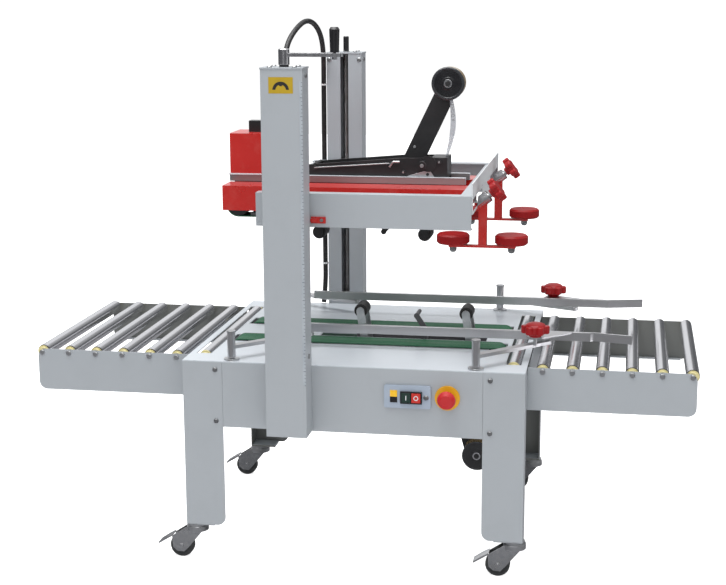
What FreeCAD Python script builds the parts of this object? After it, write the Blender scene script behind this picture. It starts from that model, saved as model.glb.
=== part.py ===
import FreeCAD, Part
import math
import os
import re

import Sketcher
from FreeCAD import Placement, Rotation, Vector

# Carton sealer, millimetres. +X is the infeed end, -X the outfeed end, +Y the
# rear, +Z up. The origin is on the floor under the middle of the machine.
SIZES = {
    # table and deck
    "gauge": 3, "table_half": 487, "table_side": 410, "deck_level": 601, "panel_bottom": 408,
    "seam": 0.5, "flange_width": 35, "end_panel_low": 478, "end_panel_high": 575,
    "slot_half": 413, "slot_inner": 72, "slot_outer": 158, "head_slot_low": -160,
    "head_slot_high": 345, "head_slot_half": 52, "roller_slot": 22, "roller_slot_side": 321,
    # legs and casters
    "leg_width": 116, "leg_depth": 60, "foot_level": 111, "corner_round": 24, "foot_length": 82,
    "caster_x": 463, "caster_y": 380, "caster_plate": 4, "caster_plate_depth": 54,
    "race_radius": 29, "race_depth": 8, "kingpin_radius": 6, "fork_top": 98.7, "fork_disc": 14,
    "fork_disc_radius": 32, "cheek_gauge": 3, "cheek_inner": 16, "wheel_radius": 35,
    "wheel_half": 13, "wheel_trail": 47, "wheel_axle": 4, "pedal_reach": 69, "pedal_half": 19,
    # roller conveyors at both ends
    "side_plate_face": 330.5, "side_plate_top": 597, "side_plate_low": 475, "side_plate_end": 952,
    "plate_flange": 20, "first_roller": 447, "roller_pitch": 82, "roller_axis": 587,
    "roller_radius": 19, "roller_wall": 1.5, "tube_half": 316, "rim_half": 320, "cap_half": 326,
    "plug_depth": 16, "plug_radius": 17.4, "neck_radius": 13, "axle_radius": 6, "screw_radius": 4,
    "screw_head": 7.5, "screw_head_depth": 4.5, "table_tube_half": 306,
    # columns, lead screws and crank
    "column_x": -168, "column_half": 57.5, "column_face": 410.2, "column_depth": 74,
    "column_low": 409, "column_top": 1425, "column_slot": 13, "column_slot_low": 640,
    "cap_plate": 5, "cap_overhang": 1.5, "bearing_low": 450, "bearing_depth": 6,
    "lead_radius": 10, "lead_low": 446, "collar_radius": 13, "hub_low": 1436, "hub_top": 1478,
    "hub_radius": 15, "stub_top": 1480, "stub_low": 1432, "crank_reach": 152, "grip_reach": 138,
    "crank_arm_low": 1457, "crank_arm_depth": 10, "crank_arm_half": 10, "grip_low": 1469,
    "grip_top": 1535, "grip_low_radius": 12, "grip_top_radius": 14, "scale_low": 560,
    "scale_top": 1395, "scale_width": 9, "scale_depth": 0.8,
    # head frame
    "beam_left": -266, "beam_right": 333, "beam_face": 397, "beam_low": 990, "beam_top": 1083,
    "beam_top_flange": 38, "beam_low_flange": 23, "cross_depth": 10, "cross_left": -262,
    "cross_right": 298, "cross_left_width": 40, "cross_right_width": 35, "cross_low": 1070,
    "rail_inner": 48.2, "rail_width": 18, "rail_low": 1070, "rail_high": 1090, "rail_left": -428,
    "rail_right": 280, "mount_left": -430, "mount_right": -290, "mount_half": 75,
    "carriage_half": 25, "carriage_near": 430, "carriage_depth": 44, "tongue_half": 10,
    "running_gap": 0.08, "press_tilt": 38, "bolt_x": 338, "bolt_z": 1044, "sheet_low": 1033,
    "sheet_top": 1117, "press_slot_near": 115, "press_slot_far": 385, "press_slot_low": 1038,
    "press_slot_top": 1081,
    # belts, guards and drives
    "belt_gauge": 3, "belt_inner": 75, "belt_width": 80, "low_drum_x": 385, "low_drum_z": 581,
    "low_drum_radius": 21.7, "low_belt_radius": 25, "high_drum_left": -380,
    "high_drum_right": 250, "high_drum_z": 1012, "high_drum_radius": 32.7, "high_belt_radius": 36,
    "drum_inner": 76, "drum_width": 78, "shaft_radius": 9, "guard_left": -425, "guard_right": 290,
    "guard_inner": 70, "guard_outer": 165, "guard_low": 996, "guard_top": 1069, "guard_wall": 2,
    "bed_inner": 80, "bed_width": 70, "bed_depth": 9, "gearbox_left": -415, "gearbox_right": -330,
    "gearbox_half": 60, "gearbox_low": 985, "gearbox_top": 1070, "motor_left": -427,
    "motor_right": -305, "motor_half": 62, "motor_low": 1093, "motor_top": 1212, "gland_x": -350,
    "gland_half": 29, "gland_depth_half": 17, "gland_top": 1246, "low_motor_z": 505,
    "low_motor_radius": 42, "low_motor_start": 42, "low_motor_end": 190, "low_gear_half": 40,
    "low_gear_depth": 84,
    # tape cartridges: the lower one is the upper one turned over and moved to the infeed side
    "tape_plate_inner": 44, "tape_plate_gauge": 4, "tape_left": -190, "tape_right": 225,
    "tape_low": 985, "tape_top": 1147, "tape_shift": 126, "tape_mirror": 1592,
    "low_tape_cut": 598, "front_pivot_x": 173, "rear_pivot_x": -147, "pivot_z": 1032,
    "arm_back": 17, "arm_drop": 117, "arm_end_radius": 12, "arm_gauge": 4, "arm_inner": 35.5,
    "pivot_radius": 6, "tape_roller_radius": 20, "tape_roller_half": 31, "spacer_radius": 6,
    "block_left": 178, "block_low": 1085, "block_top": 1147, "cutter_y": -35, "cutter_gauge": 3,
    "cutter_radius": 8, "reel_x": 223, "reel_z": 1361, "reel_arm_y": 33.5, "reel_arm_gauge": 6,
    "reel_pin_radius": 8, "roll_radius": 46.5, "core_radius": 36, "low_disc_radius": 45,
    "low_roll_radius": 43, "low_core_radius": 33, "roll_half": 29, "disc_radius": 48.5,
    "reel_disc_gauge": 3, "reel_hub_radius": 12, "low_reel_x": 318, "low_reel_z": 236,
    # side press brackets
    "press_y": 250, "clamp_radius": 17, "clamp_length": 36, "stem_radius": 8, "knob_start": 54,
    "knob_depth": 23, "knob_core": 31, "lobe_radius": 11, "lobe_ring": 29,
    "press_knob_scale": 0.88, "knob_round": 4, "knob_neck": 10, "knob_neck_radius": 13,
    "post_left": 338, "post_width": 24, "post_half": 9, "post_top": 1046,
    "bar_low": 920, "bar_depth": 6, "bar_half": 11, "bar_left": 255, "bar_right": 443,
    "disc_left_x": 267, "disc_right_x": 431, "press_pin_radius": 5, "pin_low": 905,
    "pin_nut_radius": 10, "press_disc_radius": 46.5, "press_disc_low": 930, "press_disc_top": 958,
    "press_disc_wall": 4, "washer_radius": 12, "edge_round": 5,
    # guide rails
    "rail_post_x": 348, "rail_post_y": 385, "post_base_radius": 22, "post_base_depth": 5,
    "post_pin_radius": 7, "post_cap_low": 681, "post_cap_top": 686, "post_cap_radius": 13,
    "sleeve_radius": 11.5, "sleeve_low": 609, "sleeve_top": 680, "front_rail_y": 192,
    "rear_rail_y": 272, "front_reach": 186, "rear_reach": 243, "link_low": 634, "link_depth": 10,
    "link_radius": 12, "guide_low": 646, "guide_height": 25, "guide_half": 6, "guide_left": -245,
    "flare_start": 667, "flare_length": 106, "flare_out": 26, "rear_shift": 30, "flare_gauge": 4,
    "guide_pin_radius": 5, "open_pivot_gap": 2, "front_lug_x": 503, "rear_lug_x": 524,
    "front_lug_out": 74, "rear_lug_out": 32, "lug_margin": 8, "lug_root": 105, "lug_near": 20,
    "lug_depth": 5, "rail_knob_low": 681,
    # controls
    "plate_left": 96, "plate_right": 227, "plate_low": 489, "plate_top": 554, "plate_depth": 6,
    "lamp_left": 113, "lamp_width": 20, "lamp_low": 505, "lamp_height": 35, "lamp_depth": 1.5,
    "frame_left": 142, "frame_right": 203, "frame_low": 503, "frame_top": 538, "frame_depth": 6,
    "button_width": 25, "button_height": 27, "button_proud": 2, "button_stop": 2.6,
    "button_edge": 4, "stop_x": 273, "stop_z": 522, "stop_ring_radius": 35, "stop_ring_depth": 4,
    "stop_stem_radius": 12, "stop_cap_radius": 26, "stop_travel": 4, "stop_cap_start": 25,
    "stop_cap_depth": 14,
    # small bolts
    "bolt_head_radius": 7, "bolt_head_depth": 4, "leg_bolt_x": 391, "leg_bolt_high": 576,
    "leg_bolt_low": 425, "cap_bolt_x": 34, "cap_bolt_y": 26, "side_bolt_high": 1407,
    "side_bolt_low": 635, "face_bolt_x": 49, "hose_radius": 8, "tie_gauge": 1.5, "tie_width": 5,
}

ROLLERS_PER_END = 6
SIDES = (-1, 1)
END_NAMES = {-1: "outfeed", 1: "infeed"}
SIDE_NAMES = {-1: "front", 1: "rear"}

# The hose leaves the gland on the head drive, arches over and goes down beside the rear column.
HOSE_ROUTE = [
    (-330, 0, 1247.6), (-324, 3, 1306), (-299, 18, 1362), (-279, 36, 1420), (-275, 64, 1474),
    (-260, 116, 1514), (-245, 186, 1538), (-234, 260, 1528), (-227, 330, 1490),
    (-229, 380, 1428), (-236, 412, 1345), (-238, 421, 1250), (-238, 420, 760), (-236, 414, 668),
    (-240, 398, 606),
]
TIE_LEVELS = (1330, 737)

AXES = {"X": Vector(1, 0, 0), "Y": Vector(0, 1, 0), "Z": Vector(0, 0, 1)}
WORD = re.compile(r"[a-z][a-z_]+")

doc = FreeCAD.newDocument("CartonSealer")
sheet = doc.addObject("Spreadsheet::Sheet", "Sizes")
for row, (alias, number) in enumerate(SIZES.items(), start=1):
    sheet.set(f"A{row}", alias)
    sheet.set(f"B{row}", str(number))
    sheet.setAlias(f"B{row}", alias)
doc.recompute()

nodes = []


def sized(formula):
    """The formula with each named size pointed at its cell in the sheet."""
    return WORD.sub(lambda word: "Sizes." + word[0] if word[0] in SIZES else word[0], str(formula))


def put(piece, at, turn=Rotation()):
    piece.Placement = Placement(Vector(), turn)
    for letter, formula in zip("xyz", at):
        piece.setExpression("Placement.Base." + letter, sized(formula))
    return piece


def block(name, low, size, turn=Rotation()):
    """A box given by its lowest corner and its three lengths."""
    piece = doc.addObject("Part::Box", name)
    for side, formula in zip(("Length", "Width", "Height"), size):
        piece.setExpression(side, sized(formula))
    return put(piece, low, turn)


def turned_to(axis):
    return Rotation(AXES["Z"], AXES[axis] if isinstance(axis, str) else axis)


def rod(name, radius, length, start, axis="Z"):
    """A round bar that runs from its start along an axis."""
    piece = doc.addObject("Part::Cylinder", name)
    piece.setExpression("Radius", sized(radius))
    piece.setExpression("Height", sized(length))
    return put(piece, start, turned_to(axis))


def cut(name, base, tools):
    piece = doc.addObject("Part::Cut", name)
    piece.Base = base
    piece.Tool = tools[0] if len(tools) == 1 else fuse(name + "_tools", tools)
    return piece


def fuse(name, pieces):
    piece = doc.addObject("Part::MultiFuse", name)
    piece.Shapes = pieces
    piece.Refine = True
    return piece


def tube(name, outer, inner, length, start, axis="Z"):
    return cut(name, rod(name + "_outer", outer, length, start, axis),
               [rod(name + "_bore", inner, length, start, axis)])


def outline_sketch(body, name, plane, points):
    """A closed outline on one of the body's own planes, each corner held by two lengths."""
    sketch = body.newObject("Sketcher::SketchObject", name + "_outline")
    origin_plane = next(f for f in body.Origin.OriginFeatures if f.Role == plane + "_Plane")
    sketch.AttachmentSupport = [(origin_plane, "")]
    sketch.MapMode = "FlatFace"
    count = len(points)
    rough = [Vector(9 * math.cos(2 * math.pi * i / count), 9 * math.sin(2 * math.pi * i / count), 0)
             for i in range(count)]
    for i in range(count):
        sketch.addGeometry(Part.LineSegment(rough[i], rough[(i + 1) % count]), False)
    for i in range(count):
        sketch.addConstraint(Sketcher.Constraint("Coincident", i, 2, (i + 1) % count, 1))
    for i, (across, up) in enumerate(points):
        for kind, formula in (("DistanceX", across), ("DistanceY", up)):
            number = sketch.addConstraint(Sketcher.Constraint(kind, -1, 1, i, 1, 1.0))
            sketch.setExpression(f"Constraints[{number}]", sized(formula))
    return sketch


def panel(name, plane, points, depth, at=(0, 0, 0), reverse=False):
    """A flat piece: an outline on a plane, padded by its depth."""
    body = doc.addObject("PartDesign::Body", name)
    pad = body.newObject("PartDesign::Pad", name + "_pad")
    pad.Profile = outline_sketch(body, name, plane, points)
    pad.setExpression("Length", sized(depth))
    pad.Reversed = reverse
    body.Tip = pad
    put(body, at)
    return body


def turned(name, points, start, axis="Z"):
    """A turned piece: an outline of radii and heights, spun about its axis."""
    body = doc.addObject("PartDesign::Body", name)
    sketch = outline_sketch(body, name, "XZ", points)
    spin = body.newObject("PartDesign::Revolution", name + "_spin")
    spin.Profile = sketch
    spin.ReferenceAxis = (sketch, ["V_Axis"])
    spin.Angle = 360
    body.Tip = spin
    return put(body, start, turned_to(axis))


def round_corners(body, radius, corners):
    """Rounds the pad's edges that stand on the outline's numbered corners."""
    doc.recompute()
    pad = body.Tip
    sketch = pad.Profile[0]
    spots = [sketch.Placement.multVec(sketch.Geometry[i].StartPoint) for i in corners]
    along = sketch.Placement.Rotation.multVec(AXES["Z"])
    names = []
    for number, edge in enumerate(pad.Shape.Edges, start=1):
        ends = [vertex.Point for vertex in edge.Vertexes]
        straight = abs((ends[-1] - ends[0]).normalize().dot(along)) > 0.99
        if straight and any((ends[0] - spot).cross(along).Length < 0.01 for spot in spots):
            names.append(f"Edge{number}")
    fillet = body.newObject("PartDesign::Fillet", pad.Name + "_round")
    fillet.Base = (pad, names)
    fillet.setExpression("Radius", sized(radius))
    body.Tip = fillet
    return body


def strap(name, start, end, radius, thickness, at, axis="Y", end_radius=None):
    """A flat bar with round ends between two points of a plane, like a link or a lever."""
    end_radius = radius if end_radius is None else end_radius
    ends = ((Vector(*start, 0), radius), (Vector(*end, 0), end_radius))
    run = ends[1][0] - ends[0][0]
    lean = math.acos((radius - end_radius) / run.Length)
    heading = math.atan2(run.y, run.x)

    def rim(which, angle):
        centre, size = ends[which]
        return centre + Vector(math.cos(heading + angle), math.sin(heading + angle), 0) * size

    edges = [
        Part.Arc(rim(0, lean), rim(0, math.pi), rim(0, -lean)).toShape(),
        Part.makeLine(rim(0, -lean), rim(1, -lean)),
        Part.Arc(rim(1, -lean), rim(1, 0), rim(1, lean)).toShape(),
        Part.makeLine(rim(1, lean), rim(0, lean)),
    ]
    shape = Part.Face(Part.Wire(edges)).extrude(Vector(0, 0, thickness))
    if axis == "Y":
        shape.rotate(Vector(), AXES["X"], 90)
        shape.translate(Vector(0, at + thickness, 0))
    else:
        shape.translate(Vector(0, 0, at))
    piece = doc.addObject("Part::Feature", name)
    piece.Shape = shape
    return piece


def node(label, pieces):
    """A named sub-part: one piece, or a group of pieces that belong to one body."""
    piece = pieces
    if isinstance(pieces, list):
        piece = doc.addObject("Part::Compound", label)
        piece.Links = pieces
    piece.Label = label
    nodes.append(piece)
    return piece


def knob(name, at, axis, scale=1.0):
    """A hand knob: a disc with six round lobes and rounded rims."""
    direction = AXES[axis] if isinstance(axis, str) else axis
    depth = scale * SIZES["knob_depth"]
    core = Part.makeCylinder(scale * SIZES["knob_core"], depth)
    ring = scale * SIZES["lobe_ring"]
    lobes = [Part.makeCylinder(scale * SIZES["lobe_radius"], depth,
                               Vector(ring * math.cos(a), ring * math.sin(a), 0))
             for a in (math.radians(60 * i) for i in range(6))]
    shape = core.fuse(lobes).removeSplitter()
    rims = [edge for edge in shape.Edges if edge.BoundBox.ZLength < 0.01]
    shape = shape.makeFillet(SIZES["knob_round"], rims)
    shape.Placement = Placement(Vector(*at), Rotation(AXES["Z"], direction))
    piece = doc.addObject("Part::Feature", name)
    piece.Shape = shape
    return piece


# ---------------------------------------------------------------- table, legs and deck

def table_panels():
    """Front and rear panels with a top flange, and a low panel across each end."""
    pieces = []
    for side in SIDES:
        name = SIDE_NAMES[side] + "_panel"
        web_y = f"{side} * table_side - {int(side > 0)} * gauge"
        flange_y = f"{side} * table_side - {int(side > 0)} * flange_width"
        half = "table_half - leg_width - seam"
        web = block(name + "_web", (f"-({half})", web_y, "panel_bottom"),
                    (f"2 * ({half})", "gauge", "deck_level - gauge - panel_bottom"))
        flange = block(name + "_flange", (f"-({half})", flange_y, "deck_level - 2 * gauge"),
                       (f"2 * ({half})", "flange_width", "gauge"))
        pieces.append(fuse(name, [web, flange]))
    for end in SIDES:
        x = f"{end} * table_half - {int(end > 0)} * gauge"
        pieces.append(block(END_NAMES[end] + "_end_panel",
                            (x, "-(table_side - leg_depth - 1)", "end_panel_low"),
                            ("gauge", "2 * (table_side - leg_depth - 1)",
                             "end_panel_high - end_panel_low")))
    node("table_panels", pieces)


def leg(end, side):
    """One folded sheet leg with its foot, and the caster's top plate and race under it."""
    name = f"{END_NAMES[end]}_{SIDE_NAMES[side]}_leg"
    outer = f"{end} * table_half"
    inner = f"{end} * (table_half - leg_width)"
    top = "deck_level - gauge"
    web = panel(name + "_web", "XZ",
                [(outer, "foot_level"), (outer, top), (inner, top), (inner, "foot_level")],
                "gauge", (0, f"{side} * table_side + {int(side < 0)} * gauge", 0))
    round_corners(web, "corner_round", [3])
    flange_y = f"{side} * table_side - {int(side > 0)} * leg_depth"
    outer_flange = block(name + "_outer", (f"{outer} - {int(end > 0)} * gauge", flange_y,
                                           "foot_level"),
                         ("gauge", "leg_depth", f"{top} - foot_level"))
    foot = block(name + "_foot", (f"{outer} - {int(end > 0)} * foot_length", flange_y,
                                  "foot_level"),
                 ("foot_length", "leg_depth", "gauge"))
    spot = (f"{end} * caster_x", f"{side} * caster_y")
    plate_low = "foot_level - caster_plate"
    plate = block(name + "_caster_plate",
                  (f"{outer} - {int(end > 0)} * foot_length",
                   f"{side} * caster_y - caster_plate_depth / 2", plate_low),
                  ("foot_length", "caster_plate_depth", "caster_plate"))
    race = rod(name + "_race", "race_radius", "race_depth",
               (*spot, f"{plate_low} - race_depth"))
    hole = rod(name + "_kingpin_hole", "kingpin_radius + running_gap", "race_depth",
               (*spot, f"{plate_low} - race_depth"))
    mount = cut(name + "_caster_mount", fuse(name + "_mount_solid", [plate, race]), [hole])
    return [fuse(name, [web, outer_flange, foot]), mount]


def legs():
    node("legs", [piece for end in SIDES for side in SIDES for piece in leg(end, side)])


def caster(end, side):
    """A swivel fork with its brake pedal, and the wheel in it."""
    name = f"{END_NAMES[end]}_{SIDE_NAMES[side]}_caster"
    x = f"{end} * caster_x"
    y = f"{side} * caster_y"
    wheel_x = f"({x} - wheel_trail)"
    disc = rod(name + "_disc", "fork_disc_radius", "fork_disc", (x, y, "fork_top - fork_disc"))
    kingpin = rod(name + "_kingpin", "kingpin_radius", "race_depth", (x, y, "fork_top - 1"))
    cheek_points = [(f"{x} + 27", "fork_top - 4"), (f"{x} - 29", "fork_top - 4"),
                    (f"{wheel_x} - 27", "wheel_radius + 30"), (f"{wheel_x} - 25", "wheel_radius - 4"),
                    (f"{wheel_x} - 12", "wheel_radius - 16"), (f"{wheel_x} + 9", "wheel_radius - 17"),
                    (f"{wheel_x} + 23", "wheel_radius - 2")]
    cheeks = [panel(f"{name}_cheek_{i}", "XZ", cheek_points, "cheek_gauge", (0, f"{y} + {shift}", 0))
              for i, shift in enumerate(("cheek_inner + cheek_gauge", "-cheek_inner"))]
    pedal = panel(name + "_pedal", "XZ",
                  [(f"{wheel_x} - 24", "wheel_radius + 36"), (f"{wheel_x} - 27", "wheel_radius + 29"),
                   (f"{wheel_x} - pedal_reach", "wheel_radius + 3"),
                   (f"{wheel_x} - pedal_reach", "wheel_radius + 8"),
                   (f"{wheel_x} - 42", "wheel_radius + 26")],
                  "2 * pedal_half", (0, f"{y} + pedal_half", 0))
    pin_half = "(cheek_inner + cheek_gauge + 3)"
    axle = rod(name + "_axle", "wheel_axle", f"2 * {pin_half}",
               (wheel_x, f"{y} - {pin_half}", "wheel_radius"), "Y")
    nuts = [rod(f"{name}_nut_{i}", "wheel_axle + 3", "3", (wheel_x, f"{y} + {shift}", "wheel_radius"), "Y")
            for i, shift in enumerate((f"-{pin_half}", "cheek_inner + cheek_gauge"))]
    node(name + "_fork", fuse(name + "_frame", [disc, kingpin, *cheeks, pedal, axle, *nuts]))
    bore = "wheel_axle + running_gap"
    node(name + "_wheel",
         turned(name + "_tread",
                [(bore, "-wheel_half - 2"), ("wheel_axle + 6", "-wheel_half - 2"),
                 ("wheel_axle + 6", "2 - wheel_half"), ("wheel_radius - 10", "2 - wheel_half"),
                 ("wheel_radius - 9", "-wheel_half"), ("wheel_radius - 3", "-wheel_half"),
                 ("wheel_radius", "4 - wheel_half"), ("wheel_radius", "wheel_half - 4"),
                 ("wheel_radius - 3", "wheel_half"), ("wheel_radius - 9", "wheel_half"),
                 ("wheel_radius - 10", "wheel_half - 2"), ("wheel_axle + 6", "wheel_half - 2"),
                 ("wheel_axle + 6", "wheel_half + 2"), (bore, "wheel_half + 2")],
                (wheel_x, y, "wheel_radius"), "Y"))


def deck():
    """The table's top, of strips that leave its slots open, and the guide rails' four posts."""
    outer_x = "first_roller + roller_slot"
    inner_x = "first_roller - roller_slot"
    across = "2 * roller_slot_side"

    def strip(name, x, y, length, width):
        return block("deck_" + name, (x, y, "deck_level - gauge"), (length, width, "gauge"))

    pieces = [
        strip("outfeed_middle", "-slot_half", "-slot_inner", "head_slot_low + slot_half",
              "2 * slot_inner"),
        strip("infeed_middle", "head_slot_high", "-slot_inner", "slot_half - head_slot_high",
              "2 * slot_inner"),
        strip("outfeed_edge", "-table_half", "-roller_slot_side", f"table_half - ({outer_x})", across),
        strip("infeed_edge", outer_x, "-roller_slot_side", f"table_half - ({outer_x})", across),
        strip("outfeed_rib", f"-({inner_x})", "-roller_slot_side", f"{inner_x} - slot_half", across),
        strip("infeed_rib", "slot_half", "-roller_slot_side", f"{inner_x} - slot_half", across),
    ]
    for side in SIDES:
        name = SIDE_NAMES[side]
        for part, x, near, far, length in (
                ("rail", "head_slot_low", "head_slot_half", "slot_inner",
                 "head_slot_high - head_slot_low"),
                ("wing", "-slot_half", "slot_outer", "roller_slot_side", "2 * slot_half"),
                ("side", "-table_half", "roller_slot_side", "table_side", "2 * table_half")):
            pieces.append(strip(f"{name}_{part}", x, near if side > 0 else f"-{far}", length,
                                f"{far} - {near}"))
    base_top = "(deck_level + post_base_depth)"
    for end in SIDES:
        for side in SIDES:
            pieces.append(turned(
                f"{END_NAMES[end]}_{SIDE_NAMES[side]}_post",
                [(0, "deck_level"), ("post_base_radius", "deck_level"),
                 ("post_base_radius", base_top), ("post_pin_radius", base_top),
                 ("post_pin_radius", "post_cap_low"), ("post_cap_radius", "post_cap_low"),
                 ("post_cap_radius", "post_cap_top"), (0, "post_cap_top")],
                (f"{end} * rail_post_x", f"{side} * rail_post_y", 0)))
    node("deck", pieces)


# ---------------------------------------------------------------- roller conveyors

def roller_x(end, place):
    return f"{end} * (first_roller + {place} * roller_pitch)"


def extension_sides():
    """The four side plates of the roller conveyors, drilled for the axle screws."""
    pieces = []
    for end in SIDES:
        for side in SIDES:
            name = f"{END_NAMES[end]}_{SIDE_NAMES[side]}_side_plate"
            root = f"{end} * (table_half + seam)"
            tip = f"{end} * side_plate_end"
            web = panel(name + "_web", "XZ",
                        [(root, "side_plate_low"), (tip, "side_plate_low"),
                         (tip, "side_plate_top"), (root, "side_plate_top")],
                        "gauge", (0, f"{side} * side_plate_face + {int(side < 0)} * gauge", 0))
            round_corners(web, "corner_round", [1, 2])
            start = "table_half + seam" if end > 0 else "corner_round - side_plate_end"
            flange = block(name + "_flange",
                           (start, f"{side} * side_plate_face - {int(side > 0)} * plate_flange",
                            "side_plate_low"),
                           ("side_plate_end - corner_round - table_half - seam", "plate_flange",
                            "gauge"))
            holes = [rod(f"{name}_hole_{i}", "screw_radius + 0.1", "gauge + 2",
                         (roller_x(end, i), f"{side} * side_plate_face - {1 + int(side > 0) * 1}"
                                            f" - {int(side > 0)} * gauge + {int(side > 0)}",
                          "roller_axis"), "Y")
                     for i in range(1, ROLLERS_PER_END + 1)]
            pieces.append(cut(name, fuse(name + "_solid", [web, flange]), holes))
    node("extension_sides", pieces)


def roller_pieces(name, x, tube_half):
    """A steel tube with a plastic bearing cap pressed into each end."""
    inner = "roller_radius - roller_wall"
    bore = "axle_radius + running_gap"
    pieces = [tube(name + "_tube", "roller_radius", inner, f"2 * {tube_half}",
                   (x, f"-{tube_half}", "roller_axis"), "Y")]
    for side in SIDES:
        steps = [(bore, f"{tube_half} - plug_depth"), ("plug_radius", f"{tube_half} - plug_depth"),
                 ("plug_radius", f"{tube_half}"), (f"{inner}", f"{tube_half} + 0.05"),
                 (f"{inner}", f"{tube_half} + rim_half - tube_half"),
                 ("neck_radius", f"{tube_half} + rim_half - tube_half"),
                 ("neck_radius", f"{tube_half} + cap_half - tube_half"),
                 (bore, f"{tube_half} + cap_half - tube_half")]
        pieces.append(turned(f"{name}_{SIDE_NAMES[side]}_cap", steps, (x, 0, "roller_axis"),
                             Vector(0, side, 0)))
    return pieces


def rollers():
    for end in SIDES:
        for i in range(1, ROLLERS_PER_END + 1):
            name = f"{END_NAMES[end]}_roller_{i}"
            node(name, roller_pieces(name, roller_x(end, i), "tube_half"))


def roller_axles():
    """Axles with a screw at each end, and the two rollers set into the table's own ends."""
    inside = "(side_plate_face - gauge)"
    pieces = []
    for end in SIDES:
        for i in range(1, ROLLERS_PER_END + 1):
            name = f"{END_NAMES[end]}_axle_{i}"
            x = roller_x(end, i)
            bar = [rod(name + "_bar", "axle_radius", f"2 * {inside}",
                       (x, f"-{inside}", "roller_axis"), "Y")]
            for side in SIDES:
                bar.append(turned(f"{name}_{SIDE_NAMES[side]}_screw",
                                  [(0, inside), ("screw_radius", inside),
                                   ("screw_radius", "side_plate_face"),
                                   ("screw_head", "side_plate_face"),
                                   ("screw_head", "side_plate_face + screw_head_depth - 1"),
                                   ("screw_head - 2", "side_plate_face + screw_head_depth"),
                                   (0, "side_plate_face + screw_head_depth")],
                                  (x, 0, "roller_axis"), Vector(0, side, 0)))
            pieces.append(fuse(name, bar))
        name = END_NAMES[end] + "_table_roller"
        pieces += roller_pieces(name, roller_x(end, 0), "table_tube_half")
        pieces.append(rod(name + "_axle", "axle_radius", "2 * (table_tube_half + 14)",
                          (roller_x(end, 0), "-(table_tube_half + 14)", "roller_axis"), "Y"))
        for side in SIDES:
            y = f"{side} * (table_tube_half + 14) - {int(side < 0)} * gauge"
            pieces.append(block(f"{name}_{SIDE_NAMES[side]}_hanger",
                                (f"{roller_x(end, 0)} - 14", y, "roller_axis - 22"),
                                ("28", "gauge", "deck_level - gauge - roller_axis + 22")))
    node("roller_axles", pieces)


# ---------------------------------------------------------------- columns and crank

def columns():
    """Two hollow columns, slotted for the head, with cap plates, bearings and a height scale."""
    pieces = []
    for side in SIDES:
        name = SIDE_NAMES[side] + "_column"
        low_y = "column_face" if side > 0 else "-(column_face + column_depth)"
        slot_y = "column_face" if side > 0 else "-(column_face + gauge)"
        outer = block(name + "_outer", ("column_x - column_half", low_y, "column_low"),
                      ("2 * column_half", "column_depth", "column_top - column_low"))
        hollow = block(name + "_hollow", ("column_x - column_half + gauge", f"{low_y} + gauge",
                                          "column_low"),
                       ("2 * (column_half - gauge)", "column_depth - 2 * gauge",
                        "column_top - column_low"))
        slot = block(name + "_slot", ("column_x - column_slot", slot_y, "column_slot_low"),
                     ("2 * column_slot", "gauge", "column_top - column_slot_low"))
        centre = ("column_x", f"{side} * (column_face + column_depth / 2)")
        cap = block(name + "_cap", ("column_x - column_half - cap_overhang",
                                    f"{low_y} - cap_overhang", "column_top"),
                    ("2 * (column_half + cap_overhang)", "column_depth + 2 * cap_overhang",
                     "cap_plate"))
        cap_hole = rod(name + "_cap_hole", "lead_radius + running_gap", "cap_plate",
                       (*centre, "column_top"))
        bearing = block(name + "_bearing", ("column_x - column_half + gauge", f"{low_y} + gauge",
                                            "bearing_low"),
                        ("2 * (column_half - gauge)", "column_depth - 2 * gauge", "bearing_depth"))
        bearing_hole = rod(name + "_bearing_hole", "lead_radius + running_gap", "bearing_depth",
                           (*centre, "bearing_low"))
        pieces += [cut(name, outer, [hollow, slot]), cut(name + "_cap_plate", cap, [cap_hole]),
                   cut(name + "_bearing_plate", bearing, [bearing_hole])]
    pieces.append(block("height_scale", ("column_x + column_half - scale_width",
                                         "-(column_face + column_depth + scale_depth)",
                                         "scale_low"),
                        ("scale_width", "scale_depth", "scale_top - scale_low")))
    node("columns", pieces)


def crank():
    """The front lead screw with its collar and hub, and the crank arm with its grip."""
    y = "-(column_face + column_depth / 2)"
    collar_low = "column_top + cap_plate + running_gap"
    screw = rod("front_lead_screw", "lead_radius", "hub_low - lead_low", ("column_x", y, "lead_low"))
    collar = tube("screw_collar", "collar_radius", "lead_radius", f"hub_low - ({collar_low})",
                  ("column_x", y, collar_low))
    hub = turned("crank_hub", [(0, "hub_low"), ("hub_radius", "hub_low"),
                               ("hub_radius", "hub_top - 2"), ("hub_radius - 2", "hub_top"),
                               (0, "hub_top")], ("column_x", y, 0))
    arm_bar = block("crank_bar", ("column_x", f"{y} - crank_arm_half", "crank_arm_low"),
                    ("crank_reach", "2 * crank_arm_half", "crank_arm_depth"))
    arm_end = rod("crank_bar_end", "crank_arm_half", "crank_arm_depth",
                  ("column_x + crank_reach", y, "crank_arm_low"))
    grip_x = "column_x + grip_reach"
    grip = turned("crank_grip", [("wheel_axle", "grip_low"), ("grip_low_radius", "grip_low"),
                                 ("grip_top_radius", "grip_top - 6"),
                                 ("grip_top_radius - 4", "grip_top"), ("wheel_axle", "grip_top")],
                  (grip_x, y, 0))
    spindle_low = "crank_arm_low - 7"
    pin_hole = rod("grip_hole", "wheel_axle", "crank_arm_depth", (grip_x, y, "crank_arm_low"))
    spindle = turned("grip_spindle", [(0, spindle_low), (7, spindle_low), (7, "crank_arm_low"),
                                      ("wheel_axle", "crank_arm_low"), ("wheel_axle", "grip_top"),
                                      (0, "grip_top")], (grip_x, y, 0))
    arm = cut("crank_arm", fuse("crank_arm_solid", [hub, arm_bar, arm_end]), [pin_hole])
    node("crank", [screw, collar, arm, grip, spindle])


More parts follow.
